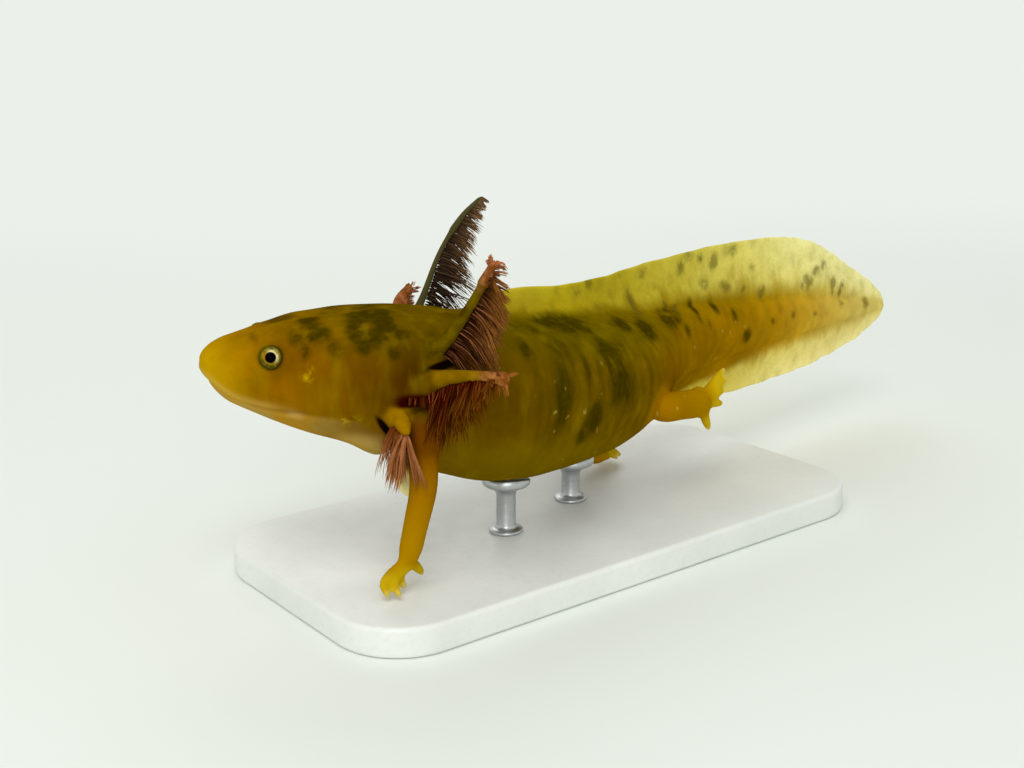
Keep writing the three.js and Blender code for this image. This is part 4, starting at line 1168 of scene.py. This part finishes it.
# ---------------------------------------------------------------------------------------------------------
# Stand plate. A flat oblong of satin white acrylic with well-rounded corners and a softened rim: a block
# with its corners and then its edges bevelled.
# ---------------------------------------------------------------------------------------------------------
PLATE = (132, 64, 6)
PLATE_CORNER, PLATE_EDGE = 14, 1
bm = bmesh.new()
block = bmesh.ops.create_cube(bm, size=1)["verts"]
bmesh.ops.scale(bm, verts=block, vec=Vector(PLATE) * MM)
bmesh.ops.translate(bm, verts=block, vec=(0, 0, PLATE[2] / 2 * MM))
uprights = [edge for edge in bm.edges if abs(edge.verts[0].co.z - edge.verts[1].co.z) > MM]
bmesh.ops.bevel(
    bm, geom=uprights, offset=PLATE_CORNER * MM, segments=18, profile=0.5, affect="EDGES", material=-1)
rims = [edge for edge in bm.edges if edge.calc_face_angle(0) > 1.2]
bmesh.ops.bevel(bm, geom=rims, offset=PLATE_EDGE * MM, segments=5, profile=0.5, affect="EDGES", material=-1)
bmesh.ops.recalc_face_normals(bm, faces=bm.faces)
plate_material, t, shader = new_surface("satin_acrylic", Specular_IOR_Level=0.3)
cast = clouded(t, 40, 0.35, 0.65, (238, 240, 236), (228, 231, 227))
cast = coated(t, cast, (patchy(t, 900, 0.5, 0.7), 0.2, paint(212, 216, 212)))
t.links.new(cast, shader.inputs["Base Color"])
t.links.new(mixed_value(t, patchy(t, 300, 0.3, 0.7), 0.34, 0.46), shader.inputs["Roughness"])
plate = object_of(bm, "stand_plate_piece", plate_material)
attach(plate, "root")
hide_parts("stand_base")

# ---------------------------------------------------------------------------------------------------------
# Stand rods. Two short turned rods of brushed steel, each with a foot flange on the plate and a flared cup
# whose top is dished to the belly it carries.
# ---------------------------------------------------------------------------------------------------------
ROD_STATIONS = {"front": 62, "rear": 86}
ROD_RADIUS, CUP_RADIUS, FLANGE_RADIUS = 2, 5, 3.5
CUP_RISE = 4  # how far a rod's blank reaches above the belly's keel before its top is dished
CUP_GAP = 0.3  # the belly's clearance over the dish, and how much more its rim has
RIM_START, RIM_WIDTH = 4.4, 0.6
# A rod's outline as (radius, height), its foot's over the plate and its cup's from the top.
FOOT_OUTLINE = (
    (0, 0), (FLANGE_RADIUS - 0.15, 0), (FLANGE_RADIUS, 0.15), (FLANGE_RADIUS, 0.6),
    (FLANGE_RADIUS - 0.2, 0.8), (2.6, 0.95), (2.2, 1.2), (ROD_RADIUS, 1.7))
CUP_OUTLINE = (
    (ROD_RADIUS, -8), (2.15, -7.4), (2.7, -6.8), (3.7, -6.2), (4.6, -5.8), (4.9, -5.55),
    (CUP_RADIUS, -5.2), (CUP_RADIUS, 0), (4.8, 0), (4.5, 0), (4, 0), (3.3, 0), (2.5, 0), (1.6, 0),
    (0.8, 0), (0, 0))
belly_places = places[(up < 0) & (station > 50) & (station < 98)]
steel, t, shader = new_surface("brushed_steel", Metallic=0.85, Specular_IOR_Level=0.5)
brushed = patchy(t, 700, 0.3, 0.7, 4, 0.6, own_place(t, (1, 1, 9)))
t.links.new(mixed(t, brushed, paint(196, 199, 200), paint(172, 175, 177)), shader.inputs["Base Color"])
t.links.new(mixed_value(t, brushed, 0.26, 0.42), shader.inputs["Roughness"])
for name, at in ROD_STATIONS.items():
    foot = point(at, 0, 0, 0)  # the rod stands under the midline there
    top = foot[2] - below(at) + CUP_RISE
    outline = [(radius, PLATE[2] + height) for radius, height in FOOT_OUTLINE]
    outline += [(radius, top + height) for radius, height in CUP_OUTLINE]
    bm = bmesh.new()
    verts = [bm.verts.new(Vector((radius, 0, height)) * MM) for radius, height in outline]
    edges = [bm.edges.new(pair) for pair in zip(verts, verts[1:])]
    bmesh.ops.spin(bm, geom=verts + edges, cent=(0, 0, 0), axis=(0, 0, 1), steps=64, angle=2 * math.pi,
                   use_merge=True)
    bmesh.ops.remove_doubles(bm, verts=bm.verts, dist=1e-7)
    bmesh.ops.translate(bm, verts=bm.verts, vec=(foot[0] * MM, foot[1] * MM, 0))
    for vert in bm.verts:
        here = np.array(vert.co) / MM
        if here[2] > top - CUP_RISE - 0.5:
            away = np.linalg.norm(belly_places[:, :2] - here[:2], axis=1)
            nearby = np.argsort(away)[:6]
            weight = 1 / (away[nearby] + 0.05)
            belly = np.sum(belly_places[nearby, 2] * weight) / weight.sum()
            rim = max((math.hypot(here[0] - foot[0], here[1] - foot[1]) - RIM_START) / RIM_WIDTH, 0)
            vert.co.z = min(here[2], belly - CUP_GAP - CUP_GAP * rim ** 2) * MM
    bmesh.ops.recalc_face_normals(bm, faces=bm.faces)
    rod = object_of(bm, "stand_rod_piece_" + name, steel)
    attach(rod, "root")
    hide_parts("stand_rod_" + name)

low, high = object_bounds()
